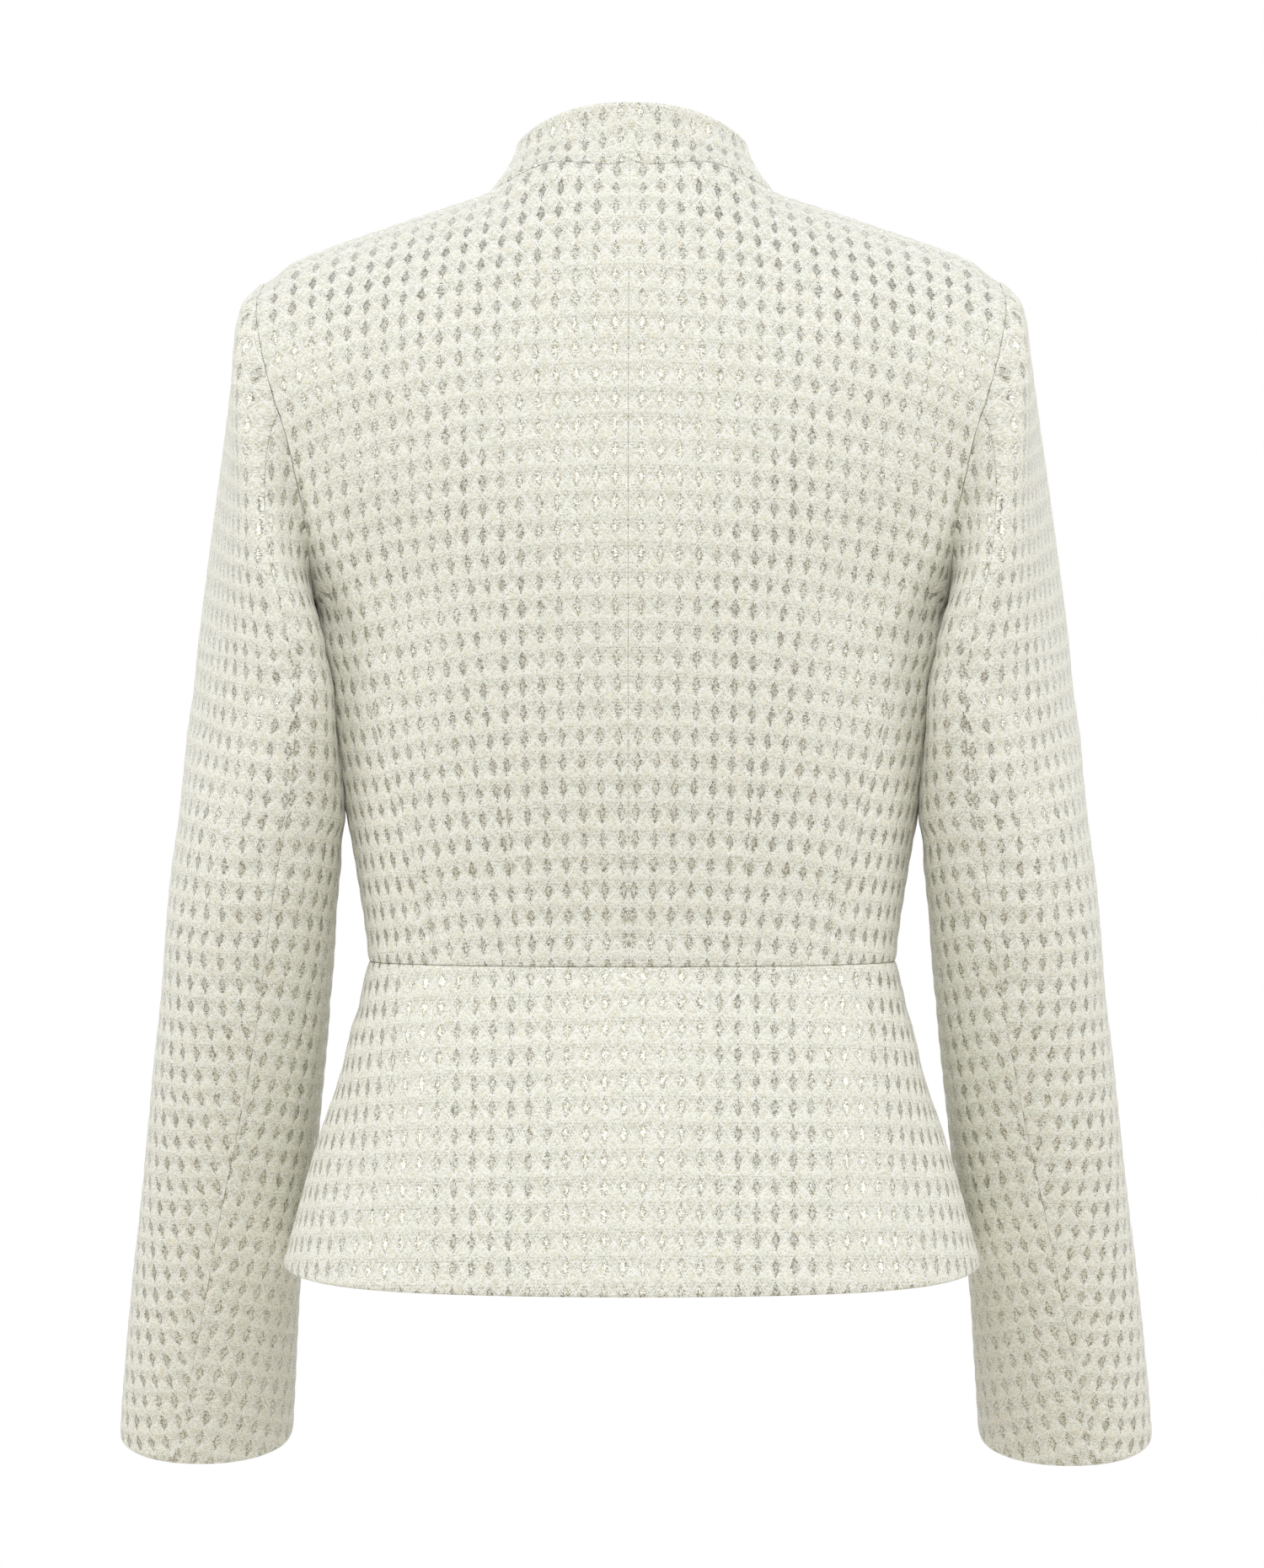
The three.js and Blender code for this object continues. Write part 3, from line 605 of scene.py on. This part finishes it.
def eased(grid, sleeve):
    """Eases the cloth where pieces meet; heights, widths and moves are in millimetres.

    The shoulder point is rounded off, the neck seam behind is flattened and the underarm is moved out.
    Just below it the sleeve and the side of the body lie against each other, and behind the arm both are
    pressed out into one soft fold, so that no deep valley opens there."""
    x, y, z = np.abs(grid[..., 0]), grid[..., 1], grid[..., 2]
    tip_x, _, tip_z = ARMHOLE["top"]
    rounded_tip = 4.5 * swell(x, tip_x, 14) * swell(z, tip_z, 14)

    from_neck = np.maximum(np.hypot(x / NECK["side"], y / NECK["back"]) - 1, 0) * NECK["back"]
    behind_neck = swell(from_neck, 0, 26) * swell(z, -3, 12) * np.clip(y / 25, 0, 1)
    lift = 7.0 * swell(x, 44, 24) - 4.2 * swell(x, 0, 16)

    armhole_out = 6.3 * swell(z, -212, 50)
    if sleeve:
        pressed, near_side = -2.0 * swell(z, -245, 34, 4), np.clip((215 - x) / 30, 0, 1)
    else:
        pressed, near_side = 2.5 * swell(z, -272, 62, 4), np.clip((x - 118) / 34, 0, 1)
    outward_by = (armhole_out + pressed) * near_side - rounded_tip

    line_x = 160 + (z + 226) / 10
    fold = 14 * swell(z, -240, 60, 4) * swell(x, line_x, 18) * np.clip((y + 25) / 30, 0, 1)
    return grid + points(outward_by * np.sign(grid[..., 0]), fold, behind_neck * lift - rounded_tip)


def sew(name, grid, weave, creases=(), dart=None, side=""):
    """One piece of cloth: a grid of points in millimetres made a wall, with its weave on it."""
    settings = bpy.context.scene.jacket_cloth
    across, up = weave
    edges, name = EDGES[name], name + side
    grid = eased(grid, "sleeve" in name)
    normal = outward(grid)
    last_row, last_column = grid.shape[0] - 1, grid.shape[1] - 1
    centre = grid.shape[0] // 2, grid.shape[1] // 2
    inside = points(np.sign(grid[centre][0]) * 205 if "sleeve" in name else 0, -20, grid[centre][2])
    if np.dot(normal[centre], grid[centre] - inside) < 0:
        grid, across, up, normal = grid[:, ::-1], across[:, ::-1], up[:, ::-1], -normal[:, ::-1]
        edges = (edges[1], edges[0], edges[2], edges[3])
        if dart:
            dart = (last_column - dart[0], dart[1], True)
    columns, rows = across / settings.pitch_across, up / settings.pitch_up
    near_edge = np.ones(grid.shape[:2])
    turned_in = np.zeros(grid.shape[:2])
    for distance, depth in zip(edge_distances(grid), edges):
        turned_in = np.maximum(turned_in, rounded_off(distance, depth, EDGE_ROUND))
        near_edge *= mix(1, np.clip(distance / CALM, 0, 1), min(depth, 1))
    if dart:
        from_dart = np.abs(run_across(grid) - run_across(grid)[:, dart[0]][:, None])
        sewn = np.clip(dart[1][:, None] / CALM, 0, 1)
        turned_in = np.maximum(turned_in, sewn * 0.35 * swell(from_dart, 0, 1.3))
        near_edge *= 1 - 0.6 * sewn * swell(from_dart, 0, 3)
    lozenge = np.abs(columns - np.rint(columns)) + np.abs(rows - np.rint(rows))  # 0 at a diamond, 1 on a puff
    below = -rows % 1
    stands_up = np.clip((lozenge - 0.25) / 0.6, 0, 1) * (1.25 - 0.5 * below) - 0.4
    puff = settings.puff / MM * stands_up * near_edge
    raised = puff - turned_in + crease_depths(grid, creases)
    place = (grid + normal * raised[..., None]) * MM

    shape = bmesh.new()
    bmesh.ops.create_grid(shape, x_segments=last_column, y_segments=last_row, size=1)
    mesh = bpy.data.meshes.new(name + "_cloth")
    shape.to_mesh(mesh)
    shape.free()
    flat = np.empty(len(mesh.vertices) * 3, np.float32)
    mesh.vertices.foreach_get("co", flat)
    flat = flat.reshape(-1, 3)
    j = np.rint((flat[:, 0] + 1) / 2 * last_column).astype(int)
    i = np.rint((flat[:, 1] + 1) / 2 * last_row).astype(int)
    mesh.vertices.foreach_set("co", place[i, j].astype(np.float32).ravel())
    corner = np.empty(len(mesh.loops), np.int32)
    mesh.loops.foreach_get("vertex_index", corner)
    u, v = across[i, j][corner], up[i, j][corner]
    if dart:
        at, intake, from_right = dart[0], dart[1], len(dart) > 2
        face_column = j[corner].reshape(-1, 4).min(axis=1).repeat(4)
        beyond = face_column < at if from_right else face_column >= at
        u = u + np.where(beyond, intake[i][corner], 0)
    weave_map = mesh.uv_layers.new(name="Weave")
    repeat = np.stack([u / settings.pitch_across, v / settings.pitch_up], axis=-1)
    weave_map.data.foreach_set("uv", repeat.astype(np.float32).ravel())
    mesh.polygons.foreach_set("use_smooth", np.ones(len(mesh.polygons), bool))
    mesh.update()

    piece = bpy.data.objects.new(name + "_cloth", mesh)
    bpy.context.scene.collection.objects.link(piece)
    mesh.materials.append(cloth_material())
    mesh.materials.append(lining_material())
    wall = piece.modifiers.new("Wall", "SOLIDIFY")
    wall.thickness = settings.wall
    wall.offset = -1
    wall.material_offset = 1
    wall.material_offset_rim = 0

    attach(piece, "root")
    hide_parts(name)
    return piece


def sew_pair(name, grid, weave, creases=(), dart=None):
    """The same piece for the wearer's left and, mirrored, for the right."""
    for side, sign in (("_left", 1), ("_right", -1)):
        own = [(sign * c[0], c[1], sign * c[2], *c[3:]) for c in creases]
        sew(name, grid * (sign, 1, 1), weave, own, dart, side)


# ---- finishes ----


class Wiring:
    """Adds nodes to a tree, each fed by sockets or plain values."""

    def __init__(self, tree):
        self.tree = tree

    def feed(self, node, inputs):
        for key, value in inputs.items():
            socket = node.inputs[key]
            if isinstance(value, bpy.types.NodeSocket):
                self.tree.links.new(value, socket)
            else:
                socket.default_value = value

    def node(self, kind, inputs=None, **facts):
        made = self.tree.nodes.new(kind)
        for key, value in facts.items():
            setattr(made, key, value)
        self.feed(made, inputs or {})
        return made

    def math(self, operation, *values):
        made = self.node("ShaderNodeMath", operation=operation)
        self.feed(made, dict(enumerate(values)))
        return made.outputs[0]

    def times(self, a, b):
        return self.math("MULTIPLY", a, b)

    def plus(self, a, b):
        return self.math("ADD", a, b)

    def minus(self, a, b):
        return self.math("SUBTRACT", a, b)

    def join(self, x, y):
        """Two values as the first two parts of a vector."""
        return self.node("ShaderNodeCombineXYZ", {0: x, 1: y}).outputs[0]

    def bump(self, height, strength, distance):
        facts = {"Height": height, "Strength": strength, "Distance": distance}
        return self.node("ShaderNodeBump", facts).outputs[0]

    def noise(self, place, scale, detail, **more):
        return self.node("ShaderNodeTexNoise", {"Vector": place, "Scale": scale, "Detail": detail, **more})

    def lots(self, across, up):
        """A random value and colour for each whole cell of a pattern."""
        cell = self.join(self.math("FLOOR", across), self.math("FLOOR", up))
        return self.node("ShaderNodeTexWhiteNoise", {"Vector": cell}, noise_dimensions="2D").outputs

    def blend(self, factor, a, b):
        """A colour between a and b."""
        made = self.node("ShaderNodeMix", data_type="RGBA")
        self.feed(made, {0: factor, 6: a, 7: b})
        return made.outputs[2]

    def fade(self, value, low, high):
        """0 below low, 1 above high, smooth between them."""
        facts = {"Value": value, "From Min": low, "From Max": high}
        made = self.node("ShaderNodeMapRange", facts, interpolation_type="SMOOTHSTEP")
        return made.outputs[0]


def colour(red, green, blue):
    return (red, green, blue, 1.0)


# how many of each lie in one repeat, across and up
YARNS = (17.0, 25.0)  # crossings of yarn
SLUBS = (8.0, 19.0)  # thick places in the filling
DOTS = (6.0, 9.0)  # crossings where a dot of metal may show
RIBS = 7  # ribs of filling up the repeat


def weave_group():
    """The weave on a piece's Weave map: ivory puffs in a net of metallic diamonds and threads."""
    if "Puffed Weave" in bpy.data.node_groups:
        return bpy.data.node_groups["Puffed Weave"]
    cloth = bpy.context.scene.jacket_cloth
    tree = bpy.data.node_groups.new("Puffed Weave", "ShaderNodeTree")
    for name, kind in (("Color", "Color"), ("Metal", "Float"), ("Height", "Float")):
        tree.interface.new_socket(name, in_out="OUTPUT", socket_type="NodeSocket" + kind)
    add = Wiring(tree)
    out = add.node("NodeGroupOutput")
    repeat = add.node("ShaderNodeUVMap", uv_map="Weave").outputs[0]
    parts = add.node("ShaderNodeSeparateXYZ", {0: repeat})
    across, up = parts.outputs[0], parts.outputs[1]

    # threads wander a little, so the repeat isn't ruled
    wander = add.noise(repeat, 0.9, 2.0)
    drift = add.node("ShaderNodeSeparateXYZ", {0: wander.outputs["Color"]})
    across_soft = add.plus(across, add.times(add.minus(drift.outputs[0], 0.5), 0.16))
    up_soft = add.plus(up, add.times(add.minus(drift.outputs[1], 0.5), 0.14))

    def from_line(value):
        """Distance in repeats from the nearest whole number."""
        return add.math("ABSOLUTE", add.minus(add.math("FRACT", add.plus(value, 0.5)), 0.5))

    def less(low, high, value):
        """1 below low, 0 above high."""
        return add.minus(1.0, add.fade(value, low, high))

    side, rise = from_line(across_soft), from_line(up_soft)  # 0 on a column or a row, 0.5 midway
    dx = add.times(side, cloth.pitch_across)  # millimetres
    dy = add.times(rise, cloth.pitch_up)
    below = add.minus(1.0, add.math("FRACT", up_soft))  # 0 on a row, 1 on the row below it

    # single yarn crossings, each with its own shade
    yarn = add.lots(add.times(across, YARNS[0]), add.times(up, YARNS[1]))
    chance = yarn["Value"]
    shades = add.node("ShaderNodeSeparateXYZ", {0: yarn["Color"]})

    # uneven thickness: along the filling yarns, in short thick places, and over whole areas
    grain = add.noise(add.join(add.times(across, 5.0), add.times(up, 14.0)), 1.0, 3.0, Roughness=0.7)
    grain = grain.outputs["Fac"]
    thick = add.lots(add.times(across_soft, SLUBS[0]), add.times(up_soft, SLUBS[1]))["Value"]
    cloudy = add.noise(repeat, 0.55, 2.0).outputs["Fac"]

    # a net of lozenges: each holds a diamond, or is filled by a puff
    lozenge = add.plus(side, rise)
    puff = add.fade(lozenge, 0.46, 0.56)
    off_net = add.math("ABSOLUTE", add.minus(lozenge, 0.5))
    net = add.times(less(0.02, 0.06, off_net), add.fade(shades.outputs[2], 0.1, 0.5))
    lower = add.times(add.fade(below, 0.45, 0.7), less(0.97, 1.0, below))

    # the diamond, ragged at its edges, with a painted highlight in its middle
    width, height = cloth.diamond_width / 2, cloth.diamond_height / 2
    ragged = add.times(add.minus(chance, 0.5), 0.5)
    reach = add.plus(add.math("DIVIDE", dx, width), add.math("DIVIDE", dy, height))
    diamond = less(0.86, 1.1, add.plus(reach, ragged))
    centre_highlight = less(0.15, 0.6, reach)

    # dots of metal, staggered as the weave is: most in the lower half of a lozenge and in a pair of
    # lines between the diamonds of a column
    dot_row = add.times(up, DOTS[1])
    stagger = add.times(add.math("MODULO", add.math("FLOOR", dot_row), 2.0), 0.5)
    dot_across = add.plus(add.times(across, DOTS[0]), stagger)
    dot_chance = add.lots(dot_across, dot_row)["Value"]
    off_x = add.times(add.minus(add.math("FRACT", dot_across), 0.5), cloth.pitch_across / DOTS[0])
    off_y = add.times(add.minus(add.math("FRACT", dot_row), 0.5), cloth.pitch_up / DOTS[1])
    off = add.math("SQRT", add.plus(add.times(off_x, off_x), add.times(off_y, off_y)))
    thread = less(0.5, 1.0, add.math("ABSOLUTE", add.minus(dx, cloth.thread_gap / 2)))
    often = add.plus(0.06, add.times(lower, cloth.band_dots))
    often = add.plus(often, add.times(thread, 0.3))
    often = add.plus(often, add.times(less(0.06, 0.13, off_net), 0.3))
    dots = add.times(add.math("LESS_THAN", dot_chance, often), less(0.25, 0.45, off))
    dots = add.times(dots, less(0.0, 0.3, net))

    # ribs of filling yarn across the lower half of each puff
    rib_wave = add.math("SINE", add.times(add.plus(up_soft, 0.07), 2 * math.pi * RIBS))
    broken = add.noise(repeat, 6.0, 1.0).outputs["Fac"]
    rib = add.times(add.fade(rib_wave, 0.3, 0.95), add.fade(broken, 0.4, 0.58))
    rib = add.times(rib, add.plus(0.25, add.times(lower, 0.75)))

    base = add.blend(add.fade(cloudy, 0.35, 0.7), colour(*cloth.ivory), colour(*cloth.cream))
    # the ground colour around the puffs and on their lower halves: partly the weave's own grey there, partly
    # painted shade where the cloth sinks
    around = add.minus(1.0, add.times(puff, add.minus(1.0, lower)))
    base = add.blend(add.times(around, 0.75), base, colour(*cloth.ground))
    fleck = add.noise(repeat, 2.3, 1.0).outputs["Fac"]
    laid_over = (  # where, how much of it, and its colour
        # painted shade in the low places of the grain's relief
        (less(0.32, 0.5, grain), 0.34, (0.47, 0.46, 0.37)),
        (less(0.08, 0.34, chance), 0.5, (0.50, 0.49, 0.42)),
        (less(0.0, 0.5, thick), 0.3, (0.52, 0.50, 0.40)),
        # the ribs: the filling's ochre tint, with painted shade in their grooves
        (rib, 0.38, (0.50, 0.47, 0.32)),
        (add.fade(fleck, 0.58, 0.7), 0.35, (0.90, 0.80, 0.60)),
    )
    for where, share, tint in laid_over:
        base = add.blend(add.times(where, share), base, colour(*tint))
    white = add.math("MAXIMUM", add.fade(chance, 0.84, 0.9), add.times(net, 0.9))
    white = add.math("MAXIMUM", white, add.times(add.fade(thick, 0.8, 0.9), 0.7))
    base = add.blend(add.times(white, 0.8), base, colour(0.99, 0.99, 0.98))

    # painted light and shade on the metal: shaded, plain and lit copies of its colour and white painted
    # glints, picked at random for each yarn crossing
    shade = add.node("ShaderNodeValToRGB", {0: shades.outputs[0]})
    ramp = shade.color_ramp
    ramp.interpolation = "CONSTANT"
    ramp.elements[0].color = colour(*cloth.metal_dark)
    ramp.elements[1].position, ramp.elements[1].color = 0.28, colour(*cloth.metal_mid)
    for position, tint in ((0.62, cloth.metal_light), (0.88, (0.92, 0.92, 0.90))):
        ramp.elements.new(position).color = colour(*tint)
    # a painted highlight in the middle of each diamond
    metal = add.blend(add.times(centre_highlight, 0.55), shade.outputs[0], colour(0.80, 0.79, 0.72))
    # a painted shade rim round the edge of each diamond, in the metal's shaded colour
    rim = add.times(add.fade(reach, 0.5, 0.75), add.fade(shades.outputs[1], 0.3, 0.5))
    metal = add.blend(add.times(rim, 0.3), metal, colour(*cloth.metal_dark))
    finished = add.blend(add.times(dots, 0.7), base, colour(*cloth.metal_dot))
    finished = add.blend(add.times(diamond, 0.92), finished, metal)
    metal_mask = add.math("MAXIMUM", add.times(diamond, 0.95), add.times(dots, 0.7))

    bulge = add.times(puff, add.minus(1.0, add.times(lower, 0.3)))
    relief = add.plus(add.times(bulge, 0.3), add.times(grain, 0.6))
    relief = add.minus(relief, add.times(rib, 0.12))
    yarns = add.times(chance, add.plus(0.07, add.times(metal_mask, 0.16)))
    relief = add.plus(relief, yarns)
    add.feed(out, {"Color": finished, "Metal": metal_mask, "Height": relief})
    return tree


def material(name):
    if name in bpy.data.materials:
        return bpy.data.materials[name], None, None
    made = bpy.data.materials.new(name)
    made.use_nodes = True
    tree = made.node_tree
    return made, Wiring(tree), tree.nodes["Principled BSDF"]


def cloth_material():
    """Ivory puffed weave with metallic thread."""
    made, add, surface = material("Ivory Puffed Weave")
    if add:
        weave = add.node("ShaderNodeGroup", node_tree=weave_group())
        metal = weave.outputs["Metal"]
        bump = add.bump(weave.outputs["Height"], 0.8, 0.0006)
        inputs = {
            "Base Color": weave.outputs["Color"],
            "Metallic": add.times(metal, 0.95),
            "Roughness": add.minus(0.88, add.times(metal, 0.6)),
            "Normal": bump,
            "Sheen Weight": 0.25,
            "Sheen Roughness": 0.5,
            "Specular IOR Level": 0.3,
        }
        add.feed(surface, inputs)
    return made


def lining_material():
    """Plain cream twill inside."""
    made, add, surface = material("Cream Lining")
    if add:
        place = add.node("ShaderNodeTexCoord")
        twill = add.node(
            "ShaderNodeTexWave",
            {"Vector": place.outputs["Object"], "Scale": 700.0, "Distortion": 0.4, "Detail": 1.0},
            bands_direction="DIAGONAL",
        )
        shade = add.blend(twill.outputs["Fac"], colour(0.70, 0.66, 0.55), colour(0.76, 0.73, 0.63))
        bump = add.bump(twill.outputs["Fac"], 0.2, 0.0002)
        add.feed(surface, {"Base Color": shade, "Roughness": 0.55, "Normal": bump, "Sheen Weight": 0.15})
    return made


# ---- settings ----


def number(name, description, default, **facts):
    return FloatProperty(name=name, description=description, default=default, **facts)


def metres(name, description, default):
    return number(name, description, default, unit="LENGTH")


def millimetres(name, description, default, **facts):
    return number(name, description + ", in millimetres", default, **facts)


def hue(name, description, default):
    return FloatVectorProperty(name=name, description=description, default=default, subtype="COLOR")


class JacketCloth(bpy.types.PropertyGroup):
    """Sizes and colours of the cloth."""

    wall: metres("Wall", "Thickness of the cloth with its backing", 0.0022)
    mesh_step: millimetres("Mesh Step", "Size of one face of the cloth", 2.1, min=1.0)
    puff: metres("Puff", "How far a puff of the weave stands up", 0.0004)
    pitch_across: millimetres("Repeat Across", "From one column of diamonds to the next", 9.6)
    pitch_up: millimetres("Repeat Up", "From one row of diamonds to the next", 13.1)
    diamond_width: millimetres("Diamond Width", "Across a diamond", 4.2)
    diamond_height: millimetres("Diamond Height", "From the foot to the tip of a diamond", 9.6)
    thread_gap: millimetres("Thread Gap", "Between the two dotted threads that join the diamonds", 1.5)
    band_dots: number("Band Dots", "Share of metal dots beside the diamonds", 0.3, min=0, max=1)
    ivory: hue("Ivory", "Main colour of the puffs", (0.875, 0.88, 0.765))
    cream: hue("Cream", "Second colour of the puffs", (0.885, 0.875, 0.74))
    # the grey of the weave between the puffs, with painted shade in those sunken places
    ground: hue("Ground", "Weave between the puffs", (0.76, 0.77, 0.665))
    metal_dark: hue("Dark Metal", "Metallic yarn in shade", (0.29, 0.275, 0.21))
    metal_mid: hue("Metal", "Metallic yarn", (0.60, 0.57, 0.45))
    metal_light: hue("Light Metal", "Metallic yarn in light", (0.85, 0.85, 0.80))
    metal_dot: hue("Metal Dot", "Single crossings of metallic yarn", (0.36, 0.34, 0.27))


class JacketStage(bpy.types.PropertyGroup):
    """Camera, lights and floor."""

    turn: number(
        "Turn", "How far the camera stands round the jacket from its back", math.radians(1), subtype="ANGLE"
    )
    distance: metres("Distance", "From the camera to the jacket", 2.7)
    height: metres("Height", "Height of the camera", -0.315)
    lens: number("Lens", "Focal length", 118.7, unit="CAMERA")
    floor: metres("Floor", "Height of the floor", -1.45)
    key: number("Key Light", "Power of the large light behind the camera", 26.0, unit="POWER")
    fill: number("Fill Light", "Power of each side light", 24.0, unit="POWER")


# ---- operators ----


def step_size():
    return bpy.context.scene.jacket_cloth.mesh_step * 1


class JACKET_OT_body(bpy.types.Operator):
    """Sews the back with its waist darts, the side backs and the fronts"""

    bl_idname = "jacket.body"
    bl_label = "Body"

    def execute(self, context):
        step = step_size()
        for name, facing in (("back", 1), ("front", -1)):
            grid, low_rows, dart_at, z = half_body(facing, step)
            across, up, intake = body_weave(grid, low_rows, dart_at, z, facing)
            sew_pair(name, grid, (across, up), BODY_CREASES, (dart_at, intake))
        grid = half_side_back(step)
        across = run_across(grid)
        across = across - across[:, grid.shape[1] // 2][:, None]
        sew_pair("side_back", grid, (across, run_up(grid) + 0.06 * across), BODY_CREASES)
        return {"FINISHED"}


class JACKET_OT_peplum(bpy.types.Operator):
    """Sews the flared peplum: one piece behind, two in front"""

    bl_idname = "jacket.peplum"
    bl_label = "Peplum"

    def execute(self, context):
        whole = mirrored(half_peplum(1, step_size()))
        across, up = flat_fan(whole, middle=-17.0, radius=618.0)
        creases = list(PEPLUM_CREASES)  # and their like on the other side, moved a little
        creases += [(-x - 9, z + 6, -angle, *sizes) for x, z, angle, *sizes in PEPLUM_CREASES]
        sew("peplum_back", whole, (across, (up - 9.0) / 1.03), creases)
        front = half_peplum(-1, step_size())
        across, up = flat_fan(front, middle=60.0, radius=900.0)
        sew_pair("peplum_front", front, (across, up - 9.0), PEPLUM_CREASES)
        return {"FINISHED"}


class JACKET_OT_collar(bpy.types.Operator):
    """Sews the stand collar on the neckline"""

    bl_idname = "jacket.collar"
    bl_label = "Stand Collar"

    def execute(self, context):
        whole = mirrored(half_collar(step_size()))
        across = run_across(whole)
        across = across - across[:, whole.shape[1] // 2][:, None]
        sew("collar", whole, (across + 4.8, run_up(whole)))
        return {"FINISHED"}


class JACKET_OT_sleeves(bpy.types.Operator):
    """Sews the two pieces of each sleeve"""

    bl_idname = "jacket.sleeves"
    bl_label = "Sleeves"

    def execute(self, context):
        for name, upper in (("upper_sleeve", True), ("under_sleeve", False)):
            grid, turns, z = sleeve_grid(upper, step_size())
            sew_pair(name, grid, sleeve_weave(grid, turns, z, upper), SLEEVE_CREASES)
        return {"FINISHED"}


JACKET_MIDDLE = Vector((0, 0, -0.3))
LIGHTS = (  # each light's place and size in metres, and its share of the key or the fill power
    ("high_back", (0.1, 2.9, 0.9), 1.9, "key", 1.0),
    ("left_side", (2.5, 0.9, 0.8), 1.6, "fill", 1.0),
    ("right_side", (-2.5, 0.9, 0.8), 1.6, "fill", 1.0),
    ("high_front", (0.2, -2.9, 1.7), 3.4, "key", 0.95),
    ("overhead", (0, 0.9, 2.4), 1.3, "key", 0.28),
)
SURROUND = {"low": 0.28, "high": 0.3, "backdrop": 0.55}  # strengths of the soft light from all round
FLOOR_COLOUR = (0.71, 0.68, 0.6)
FLOOR_REACH = 4  # metres


class JACKET_OT_stage(bpy.types.Operator):
    """Sets the floor, the soft lights, the white surroundings and the camera"""

    bl_idname = "jacket.stage"
    bl_label = "Stage"

    def execute(self, context):
        scene = context.scene
        stage = scene.jacket_stage
        scene.view_settings.view_transform = "Standard"

        shape = bmesh.new()
        bmesh.ops.create_grid(shape, x_segments=1, y_segments=1, size=FLOOR_REACH)
        bmesh.ops.translate(shape, vec=(0, 0, stage.floor), verts=shape.verts)
        mesh = bpy.data.meshes.new("studio_floor")
        shape.to_mesh(mesh)
        shape.free()
        floor = bpy.data.objects.new("studio_floor", mesh)
        scene.collection.objects.link(floor)
        pale, add, surface = material("Pale Floor")
        if add:
            add.feed(surface, {"Base Color": colour(*FLOOR_COLOUR), "Roughness": 0.9})
        mesh.materials.append(pale)

        world = bpy.data.worlds.new("White Studio")
        scene.world = world
        world.use_nodes = True
        add = Wiring(world.node_tree)
        backdrop = world.node_tree.nodes["Background"]
        add.feed(backdrop, {"Color": colour(1, 1, 1), "Strength": 1.0})
        looking = add.node("ShaderNodeTexCoord")
        facing = add.node("ShaderNodeSeparateXYZ", {0: looking.outputs["Generated"]})
        height = facing.outputs[2]
        backdrop_side = add.minus(1.0, add.fade(facing.outputs[1], -0.75, 0.0))
        backdrop_side = add.times(backdrop_side, add.minus(1.0, add.fade(height, 0.4, 0.7)))
        strength = add.plus(SURROUND["low"], add.times(add.fade(height, -0.2, 0.3), SURROUND["high"]))
        strength = add.plus(strength, add.times(backdrop_side, SURROUND["backdrop"]))
        around = add.node("ShaderNodeBackground", {"Color": colour(0.98, 0.985, 1.0), "Strength": strength})
        path = add.node("ShaderNodeLightPath")
        seen = add.node(
            "ShaderNodeMixShader",
            {0: path.outputs["Is Camera Ray"], 1: around.outputs[0], 2: backdrop.outputs[0]},
        )
        world.node_tree.links.new(seen.outputs[0], world.node_tree.nodes["World Output"].inputs["Surface"])

        powers = {"key": stage.key, "fill": stage.fill}
        for name, place, size, kind, share in LIGHTS:
            data = bpy.data.lights.new(name, "AREA")
            data.size, data.energy = size, powers[kind] * share
            lamp = bpy.data.objects.new(name, data)
            lamp.location = place
            lamp.rotation_euler = (JACKET_MIDDLE - Vector(place)).to_track_quat("-Z", "Y").to_euler()
            scene.collection.objects.link(lamp)

        data = bpy.data.cameras.new("camera")
        data.lens = stage.lens
        data.sensor_width = data.sensor_height = 36
        data.sensor_fit = "AUTO"
        camera = bpy.data.objects.new("camera", data)
        away = Vector((-math.sin(stage.turn), math.cos(stage.turn), 0)) * stage.distance
        camera.location = away + Vector((0, 0, stage.height))
        camera.rotation_euler = (-away).to_track_quat("-Z", "Y").to_euler()
        scene.collection.objects.link(camera)
        scene.camera = camera
        return {"FINISHED"}


class JACKET_PT_panel(bpy.types.Panel):
    """Lists the jacket's settings and pieces"""

    bl_label = "Jacket"
    bl_idname = "JACKET_PT_panel"
    bl_space_type = "VIEW_3D"
    bl_region_type = "UI"
    bl_category = "Jacket"

    def draw(self, context):
        for group in (context.scene.jacket_cloth, context.scene.jacket_stage):
            box = self.layout.box()
            for name in group.__annotations__:
                box.prop(group, name)
        for operator in OPERATORS:
            self.layout.operator(operator.bl_idname)


OPERATORS = (JACKET_OT_body, JACKET_OT_peplum, JACKET_OT_collar, JACKET_OT_sleeves, JACKET_OT_stage)
CLASSES = (JacketCloth, JacketStage, *OPERATORS, JACKET_PT_panel)


def register():
    for one in CLASSES:
        bpy.utils.register_class(one)
    bpy.types.Scene.jacket_cloth = PointerProperty(type=JacketCloth)
    bpy.types.Scene.jacket_stage = PointerProperty(type=JacketStage)


def unregister():
    del bpy.types.Scene.jacket_stage
    del bpy.types.Scene.jacket_cloth
    for one in reversed(CLASSES):
        bpy.utils.unregister_class(one)


def main():
    register()
    bpy.ops.jacket.body()
    bpy.ops.jacket.peplum()
    bpy.ops.jacket.collar()
    bpy.ops.jacket.sleeves()
    bpy.ops.jacket.stage()


if __name__ == "__main__":
    main()
